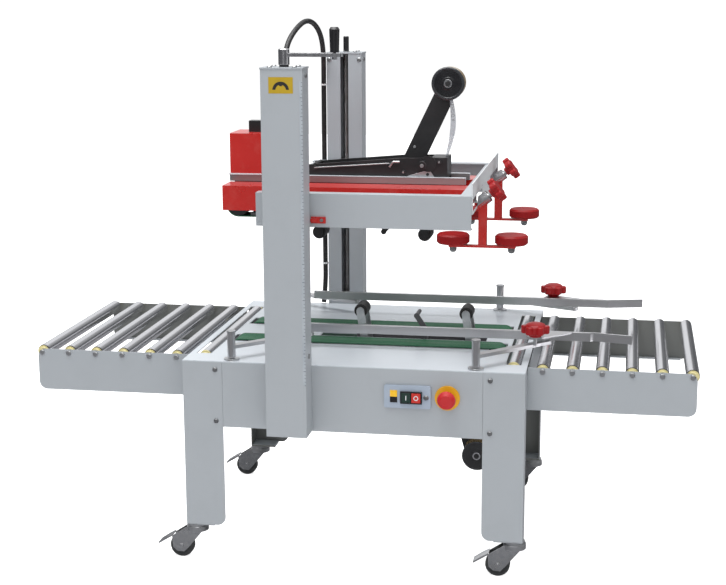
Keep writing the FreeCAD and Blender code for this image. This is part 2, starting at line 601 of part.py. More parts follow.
def rear_screw():
    y = "column_face + column_depth / 2"
    screw = rod("rear_lead_screw", "lead_radius", "stub_low - lead_low",
                ("column_x", y, "lead_low"))
    stub = turned("rear_screw_stub",
                  [(0, "stub_low"), ("lead_radius - 1", "stub_low"),
                   ("lead_radius - 1", "stub_top - 2"), ("lead_radius - 3", "stub_top"),
                   (0, "stub_top")], ("column_x", y, 0))
    node("rear_screw", [screw, stub])


# ---------------------------------------------------------------- head

TILT = math.radians(SIZES["press_tilt"])
PRESS_AXIS = Vector(math.cos(TILT), 0, math.sin(TILT))


def along_press(distance, y):
    """A point on a clamp's own axis, so far out from the end sheet."""
    return (f"bolt_x + ({distance}) * cos(press_tilt)", y,
            f"bolt_z + ({distance}) * sin(press_tilt)")


def head_beams():
    """The head's two channels, cross bars, cartridge rails, carriages and slotted end sheet."""
    pieces = []
    frame = []
    length = "beam_right - beam_left"
    for side in SIDES:
        name = SIDE_NAMES[side] + "_beam"

        def inward(depth):
            return f"beam_face - {depth}" if side > 0 else "-beam_face"

        web = block(name + "_web", ("beam_left", inward("gauge"), "beam_low"),
                    (length, "gauge", "beam_top - beam_low"))
        top = block(name + "_top", ("beam_left", inward("beam_top_flange"), "beam_top - gauge"),
                    (length, "beam_top_flange", "gauge"))
        low = block(name + "_low", ("beam_left", inward("beam_low_flange"), "beam_low"),
                    (length, "beam_low_flange", "gauge"))
        pieces.append(fuse(name, [web, top, low]))
        near_y = "carriage_near" if side > 0 else "-(carriage_near + carriage_depth)"
        tongue_y = "beam_face" if side > 0 else "-(carriage_near + 1)"
        centre_y = f"{side} * (column_face + column_depth / 2)"
        shoe = block(name + "_shoe", ("column_x - carriage_half", near_y, "beam_low"),
                     ("2 * carriage_half", "carriage_depth", "beam_top - beam_low"))
        tongue = block(name + "_tongue", ("column_x - tongue_half", tongue_y, "beam_low"),
                       ("2 * tongue_half", "carriage_near + 1 - beam_face", "beam_top - beam_low"))
        bore = rod(name + "_nut_bore", "lead_radius + running_gap", "beam_top - beam_low",
                   ("column_x", centre_y, "beam_low"))
        pieces.append(cut(SIDE_NAMES[side] + "_carriage",
                          fuse(name + "_carriage_solid", [shoe, tongue]), [bore]))
        rail_y = "rail_inner" if side > 0 else "-(rail_inner + rail_width)"
        frame.append(block(SIDE_NAMES[side] + "_cartridge_rail", ("rail_left", rail_y, "rail_low"),
                           ("rail_right - rail_left", "rail_width", "rail_high - rail_low")))
    half_span = "(beam_face - gauge)"
    for name in ("cross_left", "cross_right"):
        frame.append(block(name + "_bar", (name, f"-{half_span}", "cross_low"),
                           (name + "_width", f"2 * {half_span}", "cross_depth")))
    pieces.append(fuse("cartridge_frame", frame))
    pieces.append(block("drive_mount_plate", ("mount_left", "-mount_half", "rail_high"),
                        ("mount_right - mount_left", "2 * mount_half", "gauge")))
    end_sheet = block("end_sheet_blank", ("beam_right", f"-{half_span}", "sheet_low"),
                      ("gauge", f"2 * {half_span}", "sheet_top - sheet_low"))
    slots = []
    for side in SIDES:
        y = "press_slot_near" if side > 0 else "-press_slot_far"
        slots.append(block(SIDE_NAMES[side] + "_press_slot",
                           ("beam_right", y, "press_slot_low"),
                           ("gauge", "press_slot_far - press_slot_near",
                            "press_slot_top - press_slot_low")))
    pieces.append(cut("end_sheet", end_sheet, slots))
    node("head_beams", pieces)


def belt_guard(side):
    """A belt guard: a long box, open below, with a hole for the drum shaft."""
    name = SIDE_NAMES[side] + "_guard"
    low_y = "guard_inner" if side > 0 else "-guard_outer"
    shell = block(name + "_shell", ("guard_left", low_y, "guard_low"),
                  ("guard_right - guard_left", "guard_outer - guard_inner",
                   "guard_top - guard_low"))
    hollow = block(name + "_hollow", ("guard_left + guard_wall", f"{low_y} + guard_wall",
                                      "guard_low"),
                   ("guard_right - guard_left - 2 * guard_wall",
                    "guard_outer - guard_inner - 2 * guard_wall",
                    "guard_top - guard_low - guard_wall"))
    shaft_y = "guard_inner - 1" if side > 0 else "-(guard_inner + guard_wall + 1)"
    shaft_hole = rod(name + "_shaft_hole", "shaft_radius + 3", "guard_wall + 2",
                     ("high_drum_left", shaft_y, "high_drum_z"), "Y")
    return cut(name, shell, [hollow, shaft_hole])


def drum_pair(name, x, z, radius, shaft):
    """Two belt drums on one shaft."""
    half = "(drum_inner + drum_width)"
    pieces = [rod(name + "_shaft", shaft, f"2 * {half}", (x, f"-{half}", z), "Y")]
    for side in SIDES:
        y = "drum_inner" if side > 0 else f"-{half}"
        pieces.append(rod(f"{name}_{SIDE_NAMES[side]}", radius, "drum_width", (x, y, z), "Y"))
    return fuse(name, pieces)


def head_drive():
    """The upper belts' motor, gearbox and gland, guards, end drums and slide beds."""
    motor = block("motor_cover", ("motor_left", "-motor_half", "motor_low"),
                  ("motor_right - motor_left", "2 * motor_half", "motor_top - motor_low"))
    gland = block("motor_gland", ("gland_x - gland_half", "-gland_depth_half", "motor_top"),
                  ("2 * gland_half", "2 * gland_depth_half", "gland_top - motor_top"))
    gearbox = block("gearbox_case", ("gearbox_left", "-gearbox_half", "gearbox_low"),
                    ("gearbox_right - gearbox_left", "2 * gearbox_half",
                     "gearbox_top - gearbox_low"))
    gearbox_bore = rod("gearbox_bore", "shaft_radius + running_gap", "2 * gearbox_half",
                       ("high_drum_left", "-gearbox_half", "high_drum_z"), "Y")
    pieces = [motor, gland, cut("gearbox", gearbox, [gearbox_bore])]
    for side in SIDES:
        pieces.append(belt_guard(side))
        y = "bed_inner" if side > 0 else "-(bed_inner + bed_width)"
        pieces.append(block(SIDE_NAMES[side] + "_upper_bed",
                            ("high_drum_left + high_belt_radius", y,
                             "high_drum_z - high_belt_radius + belt_gauge"),
                            ("high_drum_right - high_drum_left - 2 * high_belt_radius", "bed_width",
                             "bed_depth")))
        drum_y = "drum_inner" if side > 0 else "-(drum_inner + drum_width)"
        pieces.append(rod(SIDE_NAMES[side] + "_upper_idler", "high_drum_radius", "drum_width",
                          ("high_drum_right", drum_y, "high_drum_z"), "Y"))
    node("head_drive", pieces)


def upper_drum():
    node("upper_drum", drum_pair("upper_drive_drum", "high_drum_left", "high_drum_z",
                                 "high_drum_radius", "shaft_radius"))


def belt_loop(name, left, right, z, radius, side):
    """A closed flat belt round two drums."""
    y = "belt_inner" if side > 0 else "-(belt_inner + belt_width)"

    def loop(part, size):
        return fuse(f"{name}_{part}", [
            block(f"{name}_{part}_run", (left, y, f"{z} - {size}"),
                  (f"{right} - {left}", "belt_width", f"2 * ({size})")),
            rod(f"{name}_{part}_left", size, "belt_width", (left, y, z), "Y"),
            rod(f"{name}_{part}_right", size, "belt_width", (right, y, z), "Y")])

    return cut(name, loop("outside", radius), [loop("inside", f"({radius} - belt_gauge)")])


def belts():
    node("upper_belts", [belt_loop(SIDE_NAMES[side] + "_upper_belt", "high_drum_left",
                                   "high_drum_right", "high_drum_z", "high_belt_radius", side)
                         for side in SIDES])
    node("lower_belts", [belt_loop(SIDE_NAMES[side] + "_lower_belt", "(0 - low_drum_x)",
                                   "low_drum_x", "low_drum_z", "low_belt_radius", side)
                         for side in SIDES])


def lower_drive():
    """The lower belts' gearbox and motor, their drums and their slide beds."""
    gear_x = "(0 - low_drum_x)"
    gear_low = "low_motor_z - low_motor_radius"
    pieces = [
        drum_pair("lower_drive_drum", gear_x, "low_drum_z", "low_drum_radius", "shaft_radius"),
        drum_pair("lower_idler", "low_drum_x", "low_drum_z", "low_drum_radius", "shaft_radius"),
        block("lower_gearbox", (f"{gear_x} - low_gear_depth / 2", "-low_gear_half", gear_low),
              ("low_gear_depth", "2 * low_gear_half",
               f"low_drum_z - shaft_radius - 0.2 - ({gear_low})")),
        rod("lower_motor", "low_motor_radius", "low_motor_end - low_motor_start",
            (gear_x, "low_motor_start", "low_motor_z"), "Y")]
    for side in SIDES:
        y = "bed_inner" if side > 0 else "-(bed_inner + bed_width)"
        pieces.append(block(SIDE_NAMES[side] + "_lower_bed",
                            (f"{gear_x} + low_belt_radius", y,
                             "low_drum_z + low_belt_radius - belt_gauge - bed_depth - 0.2"),
                            ("2 * (low_drum_x - low_belt_radius)", "bed_width", "bed_depth")))
    node("lower_drive", pieces)


# ---------------------------------------------------------------- tape cartridges

def lower_x(x):
    return f"({x} + tape_shift)"


def lower_z(z):
    return f"(tape_mirror - ({z}))"


def same(formula):
    return formula


def tape_plates(prefix, move_x, move_z, outline):
    """A cartridge's two side plates, drilled for the arm pivots, and the spacers between them."""
    pieces = []
    for side in SIDES:
        y = "tape_plate_inner" if side > 0 else "-(tape_plate_inner + tape_plate_gauge)"
        name = f"{prefix}_{SIDE_NAMES[side]}_plate"
        plate = panel(name + "_sheet", "XZ", outline, "tape_plate_gauge",
                      (0, f"{y} + tape_plate_gauge", 0))
        holes = [rod(f"{name}_hole_{i}", "pivot_radius + running_gap", "tape_plate_gauge",
                     (move_x(x), y, move_z("pivot_z")), "Y")
                 for i, x in enumerate(("front_pivot_x", "rear_pivot_x"))]
        pieces.append(cut(name, plate, holes))
    for i, (x, z) in enumerate(((-172, 1120), (28, 1008), (60, 1120), (208, 1060))):
        pieces.append(rod(f"{prefix}_spacer_{i}", "spacer_radius", "2 * tape_plate_inner",
                          (move_x(x), "-tape_plate_inner", move_z(z)), "Y"))
    return pieces


def cutter(prefix, tip, knee, foot):
    """A cutter's bent lever with its round tip, on the cartridge's front side."""
    gauge = SIZES["cutter_gauge"]
    y = SIZES["cutter_y"]
    arm = strap(prefix + "_cutter_arm", tip, knee, SIZES["cutter_radius"], gauge, y)
    leg_bar = strap(prefix + "_cutter_leg", knee, foot, SIZES["cutter_radius"], gauge, y)
    tip_pin = doc.addObject("Part::Cylinder", prefix + "_cutter_tip")
    tip_pin.setExpression("Radius", sized("spacer_radius"))
    tip_pin.setExpression("Height", sized("-2 * cutter_y"))
    put(tip_pin, (tip[0], "cutter_y", tip[1]), turned_to("Y"))
    bore = rod(prefix + "_cutter_bore", "spacer_radius", "cutter_gauge",
               (foot[0], "cutter_y", foot[1]), "Y")
    return cut(prefix + "_cutter", fuse(prefix + "_cutter_solid", [arm, leg_bar, tip_pin]), [bore])


def upper_point(x, z):
    return x, z


def lower_point(x, z):
    return x + SIZES["tape_shift"], SIZES["tape_mirror"] - z


def tape_arm(name, pivot_x, upper):
    """A swinging arm with a soft roller that presses the tape down."""
    move = upper_point if upper else lower_point
    pivot = move(SIZES[pivot_x], SIZES["pivot_z"])
    end = move(SIZES[pivot_x] - SIZES["arm_back"], SIZES["pivot_z"] - SIZES["arm_drop"])
    gauge = SIZES["arm_gauge"]
    inner = SIZES["arm_inner"]
    cheeks = [strap(f"{name}_cheek_{i}", pivot, end, SIZES["arm_end_radius"], gauge, at)
              for i, at in enumerate((inner, -inner - gauge))]
    pivot_pin = rod(name + "_pivot", "pivot_radius", "2 * (tape_plate_inner + tape_plate_gauge)",
                    (pivot[0], "-(tape_plate_inner + tape_plate_gauge)", pivot[1]), "Y")
    roller_pin = rod(name + "_roller_pin", "press_pin_radius", "2 * (arm_inner + arm_gauge)",
                     (end[0], "-(arm_inner + arm_gauge)", end[1]), "Y")
    roller = tube(name + "_roller", "tape_roller_radius", "press_pin_radius",
                  "2 * tape_roller_half", (end[0], "-tape_roller_half", end[1]), "Y")
    node(name, [fuse(name + "_frame", [*cheeks, pivot_pin, roller_pin]), roller])


def upper_tape_frame():
    """The upper cartridge's plates, end block, cutter, and the arm that carries the reel."""
    pieces = tape_plates("upper", same, same,
                         [("tape_left", "tape_low"), ("tape_right", "tape_low"),
                          ("tape_right", "tape_top"), ("85", "tape_top - 3"),
                          ("tape_left", "tape_top - 26")])
    pieces.append(block("upper_end_block", ("block_left", "-tape_plate_inner + 0.2", "block_low"),
                        ("tape_right - block_left", "2 * tape_plate_inner - 0.4",
                         "block_top - block_low")))
    pieces.append(cutter("upper", (33, 921), (50, 962), (28, 1008)))
    arm = panel("upper_reel_arm", "XZ",
                [(66.5, 1104), (134.5, 1104), (224.7, 1295.6), (246, 1358), (226, 1378),
                 (206, 1372), (175.4, 1329)],
                "reel_arm_gauge", (0, "reel_arm_y + reel_arm_gauge", 0))
    foot = rod("upper_reel_foot", "reel_pin_radius", "tape_plate_inner - reel_arm_y",
               (104, "reel_arm_y", 1118), "Y")
    pin = rod("upper_reel_pin", "reel_pin_radius", "reel_arm_y + roll_half + reel_disc_gauge + 4",
              ("reel_x", "-(roll_half + reel_disc_gauge + 4)", "reel_z"), "Y")
    pieces.append(fuse("upper_reel_holder", [arm, foot, pin]))
    node("upper_tape_frame", pieces)


def lower_tape_frame():
    """The lower cartridge's plates, cutter, and the plate that carries the reel under the table."""
    left, right = lower_x("tape_left"), lower_x("tape_right")
    low = lower_z("tape_top")
    pieces = tape_plates("lower", lower_x, lower_z,
                         [(left, low), (right, low), (right, "low_tape_cut"),
                          (left, "low_tape_cut")])
    pieces.append(cutter("lower", (133, 668), (160, 628), (154, 584)))
    arm = panel("lower_reel_arm", "XZ",
                [(255, 545), (262, 275), (274, 232), (294, 215), (316, 208), (338, 222),
                 (350, 290), (350, 545)],
                "reel_arm_gauge", (0, "reel_arm_y + reel_arm_gauge", 0))
    foot = rod("lower_reel_foot", "reel_pin_radius", "tape_plate_inner - reel_arm_y",
               (290, "reel_arm_y", 500), "Y")
    pin = rod("lower_reel_pin", "reel_pin_radius", "reel_arm_y + roll_half + reel_disc_gauge + 4",
              ("low_reel_x", "-(roll_half + reel_disc_gauge + 4)", "low_reel_z"), "Y")
    spacer_hole = rod("lower_arm_relief", "spacer_radius", "reel_arm_gauge",
                      (lower_x(208), "reel_arm_y", lower_z(1060)), "Y")
    pieces.append(cut("lower_reel_holder", fuse("lower_reel_solid", [arm, foot, pin]), [spacer_hole]))
    node("lower_tape_frame", pieces)


def tape_roll(name, x, z, roll, hollow, plate):
    """A roll of tape on its core, with a disc and hub on its front side."""
    bore = "reel_pin_radius + running_gap"
    core = tube(name + "_core", hollow, bore, "2 * roll_half", (x, "-roll_half", z), "Y")
    tape = tube(name + "_tape", roll, hollow, "2 * roll_half",
                (x, "-roll_half", z), "Y")
    disc = tube(name + "_disc", plate, bore, "reel_disc_gauge",
                (x, "-(roll_half + reel_disc_gauge)", z), "Y")
    hub = tube(name + "_hub", "reel_hub_radius", bore, "3",
               (x, "-(roll_half + reel_disc_gauge + 3)", z), "Y")
    node(name, [core, tape, disc, hub])


# ---------------------------------------------------------------- side press brackets

def press_bracket(side):
    """A clamp on the end sheet with a post, a bar and the pins of two rollers."""
    name = SIDE_NAMES[side] + "_press_bracket"
    y = f"{side} * press_y"
    bolt = rod(name + "_bolt", "press_pin_radius", "gauge + 12",
               ("beam_right - 6.5", y, "bolt_z"), "X")
    nut = rod(name + "_nut", "pin_nut_radius", "6", ("beam_right - 6.5", y, "bolt_z"), "X")
    clamp = cut(name + "_clamp",
                rod(name + "_clamp_bar", "clamp_radius", "2 * clamp_radius + clamp_length",
                    along_press("-2 * clamp_radius", y), PRESS_AXIS),
                [block(name + "_clamp_trim",
                       ("beam_right - 2 * clamp_length", f"{y} - washer_radius - clamp_radius",
                        "bolt_z - 2 * clamp_length"),
                       ("2 * clamp_length + gauge + 0.3", "2 * (washer_radius + clamp_radius)",
                        "4 * clamp_length"))])
    stem = rod(name + "_stem", "stem_radius", "knob_start - clamp_length",
               along_press("clamp_length", y), PRESS_AXIS)
    neck = rod(name + "_neck", "knob_neck_radius", "knob_neck",
               along_press("knob_start - knob_neck", y), PRESS_AXIS)
    post = block(name + "_post", ("post_left", f"{y} - post_half", "bar_low"),
                 ("post_width", "2 * post_half", "post_top - bar_low"))
    bar = block(name + "_bar", ("bar_left", f"{y} - bar_half", "bar_low"),
                ("bar_right - bar_left", "2 * bar_half", "bar_depth"))
    frame = [bolt, nut, clamp, stem, neck, post, bar]
    bar_top = "bar_low + bar_depth"
    for i, x in enumerate(("disc_left_x", "disc_right_x")):
        frame.append(turned(f"{name}_pin_{i}",
                            [(0, "pin_low"), ("pin_nut_radius - 5", "pin_low"),
                             ("pin_nut_radius - 1.5", "pin_low + 3"),
                             ("pin_nut_radius", "pin_low + 7"),
                             ("pin_nut_radius", bar_top), ("washer_radius", bar_top),
                             ("washer_radius", "press_disc_low - 0.3"),
                             ("press_pin_radius", "press_disc_low - 0.3"),
                             ("press_pin_radius", "press_disc_top - press_disc_wall - 0.5"),
                             (0, "press_disc_top - press_disc_wall - 0.5")], (x, y, 0)))
    distance = SIZES["knob_start"]
    at = (SIZES["bolt_x"] + distance * math.cos(TILT), side * SIZES["press_y"],
          SIZES["bolt_z"] + distance * math.sin(TILT))
    node(name, [fuse(name + "_frame", frame),
                knob(name + "_knob", at, PRESS_AXIS, SIZES["press_knob_scale"])])


def press_disc(name, x, side):
    bore = "press_pin_radius + running_gap"
    rim = "press_disc_radius"
    node(name, turned(name + "_body",
                      [(bore, "press_disc_low"), (f"{rim} - edge_round", "press_disc_low"),
                       (rim, "press_disc_low + edge_round"), (rim, "press_disc_top - edge_round"),
                       (f"{rim} - edge_round", "press_disc_top"), (0, "press_disc_top"),
                       (0, "press_disc_top - press_disc_wall"),
                       (bore, "press_disc_top - press_disc_wall")],
                      (x, f"{side} * press_y", 0)))


# ---------------------------------------------------------------- guide rails

def guide_rail(side):
    """A guide rail with its flared infeed end, two pins under it, and a knob on a lug."""
    name = SIDE_NAMES[side] + "_guide_rail"
    which = SIDE_NAMES[side]
    shift = f"{int(side > 0)} * rear_shift"

    def out(distance):
        return f"{side} * ({which}_rail_y + {distance})"

    start = f"(flare_start + {shift})"
    end = f"(flare_start + flare_length + {shift})"
    bar = panel(name + "_bar", "XY",
                [("guide_left", out("-guide_half")), (start, out("-guide_half")),
                 (end, out("flare_out - guide_half")),
                 (f"{end} - 2", out("flare_out - guide_half + flare_gauge")),
                 (f"{start} - 4", out("-guide_half + flare_gauge")),
                 (f"{start} - 12", out("guide_half")), ("guide_left", out("guide_half"))],
                "guide_height", (0, 0, "guide_low"))
    pins = [rod(f"{name}_pin_{i}", "guide_pin_radius", "guide_low + 1 - link_low",
                (f"{post} * rail_post_x + {which}_reach", out("0"), "link_low"))
            for i, post in enumerate(SIDES)]
    lug_x = which + "_lug_x"
    lug = panel(name + "_lug", "XY",
                [(f"{lug_x} - 1.6 * lug_near", out("0")),
                 (f"{lug_x} - lug_near", out(f"{which}_lug_out + lug_margin")),
                 (f"{lug_x} + lug_near", out(f"{which}_lug_out + lug_margin")),
                 (f"{lug_x} + lug_root", out("0"))],
                "lug_depth", (0, 0, "guide_low + guide_height - lug_depth"))
    lug_end = SIZES[which + "_rail_y"] + SIZES[which + "_lug_out"]
    stem = rod(name + "_stem", "guide_pin_radius", "rail_knob_low - guide_low + 1",
               (lug_x, side * lug_end, "guide_low"))
    grip = knob(name + "_knob", (SIZES[lug_x], side * lug_end, SIZES["rail_knob_low"]), "Z")
    node(name, [fuse(name + "_frame", [bar, *pins, lug, stem]), grip])


def rail_link(end, side):
    """A link from a post to a rail: a sleeve that turns on the post, and a flat bar."""
    name = f"{END_NAMES[end]}_{SIDE_NAMES[side]}_rail_link"
    which = SIDE_NAMES[side]
    post = (end * SIZES["rail_post_x"], side * SIZES["rail_post_y"])
    tip = (post[0] + SIZES[which + "_reach"], side * SIZES[which + "_rail_y"])
    bar = strap(name + "_bar", post, tip, SIZES["sleeve_radius"], SIZES["link_depth"],
                SIZES["link_low"], "Z", SIZES["link_radius"])
    sleeve = rod(name + "_sleeve", "sleeve_radius", "sleeve_top - sleeve_low",
                 (post[0], post[1], "sleeve_low"))
    bore = rod(name + "_bore", "post_pin_radius + running_gap", "sleeve_top - sleeve_low",
               (post[0], post[1], "sleeve_low"))
    gap = "open_pivot_gap" if end < 0 else "running_gap"
    hole = rod(name + "_hole", f"guide_pin_radius + {gap}", "link_depth",
               (tip[0], tip[1], "link_low"))
    node(name, cut(name + "_body", fuse(name + "_solid", [bar, sleeve]), [bore, hole]))


# ---------------------------------------------------------------- controls

def control_plate():
    """The control plate with its switch frame, and the ring round the emergency stop."""
    face = "(table_side + plate_depth)"
    plate = panel("switch_plate", "XZ",
                  [("plate_left", "plate_low"), ("plate_right", "plate_low"),
                   ("plate_right", "plate_top"), ("plate_left", "plate_top")],
                  "plate_depth", (0, "-table_side", 0))
    round_corners(plate, 5, [0, 1, 2, 3])
    frame = block("switch_frame", ("frame_left", f"-({face} + frame_depth)", "frame_low"),
                  ("frame_right - frame_left", "frame_depth", "frame_top - frame_low"))
    wells = [block(f"switch_well_{i}", (f"{x} - 0.3", f"-({face} + frame_depth)",
                                        "frame_low + button_edge - 0.3"),
                   ("button_width + 0.6", "frame_depth", "button_height + 0.6"))
             for i, x in enumerate(button_places())]
    ring = tube("stop_ring", "stop_ring_radius", "stop_stem_radius + running_gap",
                "stop_ring_depth", ("stop_x", "-(table_side + stop_ring_depth)", "stop_z"), "Y")
    lamp = block("switch_indicator", ("lamp_left", f"-({face} + lamp_depth)", "lamp_low"),
                 ("lamp_width", "lamp_depth", "lamp_height"))
    node("control_plate", [plate, cut("switch_surround", frame, wells), ring, lamp])


def button_places():
    return ("(frame_left + button_edge)", "(frame_right - button_edge - button_width)")


def buttons():
    face = "(table_side + plate_depth + frame_depth)"
    for name, x in zip(("start_button", "stop_button"), button_places()):
        depth = "button_proud + frame_depth - button_stop"
        node(name, block(name + "_key", (x, f"-({face} + button_proud)", "frame_low + button_edge"),
                         ("button_width", depth, "button_height")))
    stem_end = "(table_side + stop_travel + 0.3)"
    cap_near = "(table_side + stop_cap_start)"
    cap_far = f"({cap_near} + stop_cap_depth)"
    node("emergency_stop",
         turned("emergency_stop_cap",
                [(0, stem_end), ("stop_stem_radius", stem_end), ("stop_stem_radius", cap_near),
                 ("stop_cap_radius - 2", cap_near), ("stop_cap_radius", f"{cap_near} + 3"),
                 ("stop_cap_radius - 2", f"{cap_far} - 6"), ("stop_cap_radius - 10", cap_far),
                 (0, cap_far)], ("stop_x", 0, "stop_z"), Vector(0, -1, 0)))


# ---------------------------------------------------------------- fasteners and hose

def bolt_head(name, at, axis):
    return turned(name, [(0, 0), ("bolt_head_radius", 0), ("bolt_head_radius", "bolt_head_depth / 2"),
                         ("bolt_head_radius - 2.5", "bolt_head_depth"), (0, "bolt_head_depth")],
                  at, axis)


def fasteners():
    """Bolt heads on the legs, the columns and the control plate, and the hose's cable ties."""
    pieces = []
    for side in SIDES:
        outward = Vector(0, side, 0)
        y = f"{side} * table_side"
        for end in SIDES:
            for level in ("leg_bolt_high", "leg_bolt_low"):
                pieces.append(bolt_head(f"leg_bolt_{len(pieces)}",
                                        (f"{end} * leg_bolt_x", y, level), outward))
            for across in SIDES:
                pieces.append(bolt_head(
                    f"cap_bolt_{len(pieces)}",
                    (f"column_x + {end} * cap_bolt_x",
                     f"{side} * (column_face + column_depth / 2) + {across} * cap_bolt_y",
                     "column_top + cap_plate"), AXES["Z"]))
            for level in ("side_bolt_high", "side_bolt_low"):
                pieces.append(bolt_head(f"column_bolt_{len(pieces)}",
                                        (f"column_x + {end} * column_half",
                                         f"{side} * (column_face + column_depth / 2)", level),
                                        Vector(end, 0, 0)))
    pieces.append(bolt_head("plate_bolt", ("plate_right - 13", "-(table_side + plate_depth)",
                                           "(plate_low + plate_top) / 2"), Vector(0, -1, 0)))
    for end in SIDES:
        pieces.append(bolt_head(f"face_bolt_{END_NAMES[end]}",
                                (f"column_x + {end} * face_bolt_x", "column_face",
                                 "side_bolt_high"), Vector(0, -1, 0)))
    inner = SIZES["hose_radius"] + 0.3
    path = hose_path()
    for i, level in enumerate(TIE_LEVELS):
        spot, heading = path_at_level(path, level)
        ring = Part.makeCylinder(inner + SIZES["tie_gauge"], SIZES["tie_width"], spot, heading)
        tie = doc.addObject("Part::Feature", f"hose_tie_{i}")
        tie.Shape = ring.cut(Part.makeCylinder(inner, SIZES["tie_width"], spot, heading))
        pieces.append(tie)
    node("fasteners", pieces)


def hose_path():
    """The hose's middle line: straight runs joined by arcs as large as the runs allow."""
    route = [Vector(*point) for point in HOSE_ROUTE]
    edges = []
    last = route[0]
    for before, corner, after in zip(route, route[1:], route[2:]):
        into = (corner - before).normalize()
        out = (after - corner).normalize()
        turn = into.getAngle(out)
        reach = 0.45 * min((corner - before).Length, (after - corner).Length)
        radius = reach / math.tan(turn / 2)
        start = corner - into * reach
        end = corner + out * reach
        bulge = (start + end) / 2 - corner
        centre = corner + bulge.normalize() * (radius / math.cos(turn / 2))
        middle = centre + (corner - centre).normalize() * radius
        edges += [Part.makeLine(last, start), Part.Arc(start, middle, end).toShape()]
        last = end
    edges.append(Part.makeLine(last, route[-1]))
    return Part.Wire(edges)


def path_at_level(path, level):
    """The point where the hose comes down through a level, and its heading there."""
    spots = path.discretize(Distance=2)
    for spot, after in zip(spots, spots[1:]):
        if spot.z >= level > after.z:
            return spot, (after - spot).normalize()
    raise SystemExit(f"the hose doesn't pass level {level}")


def hose():
    """The hose: a round section swept along its path."""
    path = hose_path()
    start = path.OrderedVertexes[0].Point
    heading = Vector(*HOSE_ROUTE[1]) - Vector(*HOSE_ROUTE[0])
    ring = Part.Wire(Part.Circle(start, heading, SIZES["hose_radius"]).toShape())
    piece = doc.addObject("Part::Feature", "hose_tube")
    piece.Shape = path.makePipeShell([ring], True, True)
    print(f"hose length {path.Length:.0f}")
    node("hose", piece)


table_panels()
legs()
deck()
extension_sides()
columns()
roller_axles()
fasteners()
control_plate()
lower_tape_frame()
lower_drive()
belts()
hose()
rollers()
for caster_end in SIDES:
    for caster_side in SIDES:
        caster(caster_end, caster_side)
crank()
rear_screw()
head_beams()
head_drive()
upper_drum()
upper_tape_frame()
tape_roll("upper_tape_roll", "reel_x", "reel_z", "roll_radius", "core_radius", "disc_radius")
tape_roll("lower_tape_roll", "low_reel_x", "low_reel_z", "low_roll_radius", "low_core_radius",
          "low_disc_radius")
tape_arm("upper_front_arm", "front_pivot_x", True)
tape_arm("upper_rear_arm", "rear_pivot_x", True)
tape_arm("lower_front_arm", "front_pivot_x", False)
tape_arm("lower_rear_arm", "rear_pivot_x", False)
for press_side in SIDES:
    press_bracket(press_side)
    press_disc(SIDE_NAMES[press_side] + "_left_disc", "disc_left_x", press_side)
    press_disc(SIDE_NAMES[press_side] + "_right_disc", "disc_right_x", press_side)
for rail_side in SIDES:
    guide_rail(rail_side)
    for rail_end in SIDES:
        rail_link(rail_end, rail_side)
buttons()
doc.recompute()

failed = [item.Name for item in doc.Objects if "Invalid" in item.State or "Error" in item.State]
if failed:
    raise SystemExit(f"failed objects: {failed}")
os.makedirs("parts", exist_ok=True)
for piece in nodes:
    shape = piece.Shape
    if shape.isNull() or not shape.isValid():
        raise SystemExit(f"bad shape: {piece.Label}")
    shape.exportStep(f"parts/{piece.Label}.step")
print(len(nodes), "sub-parts written")
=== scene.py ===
import math

import bmesh
import bpy
from mathutils import Matrix, Vector


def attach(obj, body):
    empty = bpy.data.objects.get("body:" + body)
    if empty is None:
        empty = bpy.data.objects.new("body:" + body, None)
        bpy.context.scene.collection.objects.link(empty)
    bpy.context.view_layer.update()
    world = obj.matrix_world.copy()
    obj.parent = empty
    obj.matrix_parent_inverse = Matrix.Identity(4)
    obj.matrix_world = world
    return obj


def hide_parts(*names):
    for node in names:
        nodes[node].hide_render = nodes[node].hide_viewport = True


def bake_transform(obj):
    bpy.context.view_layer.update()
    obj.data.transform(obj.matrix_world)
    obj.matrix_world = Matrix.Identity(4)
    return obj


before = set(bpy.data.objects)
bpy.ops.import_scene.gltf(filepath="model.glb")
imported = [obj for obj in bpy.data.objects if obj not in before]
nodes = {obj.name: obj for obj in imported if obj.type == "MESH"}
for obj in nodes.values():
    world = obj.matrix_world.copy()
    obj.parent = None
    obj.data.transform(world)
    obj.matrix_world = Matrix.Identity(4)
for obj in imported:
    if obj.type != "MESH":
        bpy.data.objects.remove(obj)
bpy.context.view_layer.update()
scene = bpy.context.scene

ENDS = ("outfeed", "infeed")
SIDES = ("front", "rear")


# ------------------------------------------------------------------ material tools

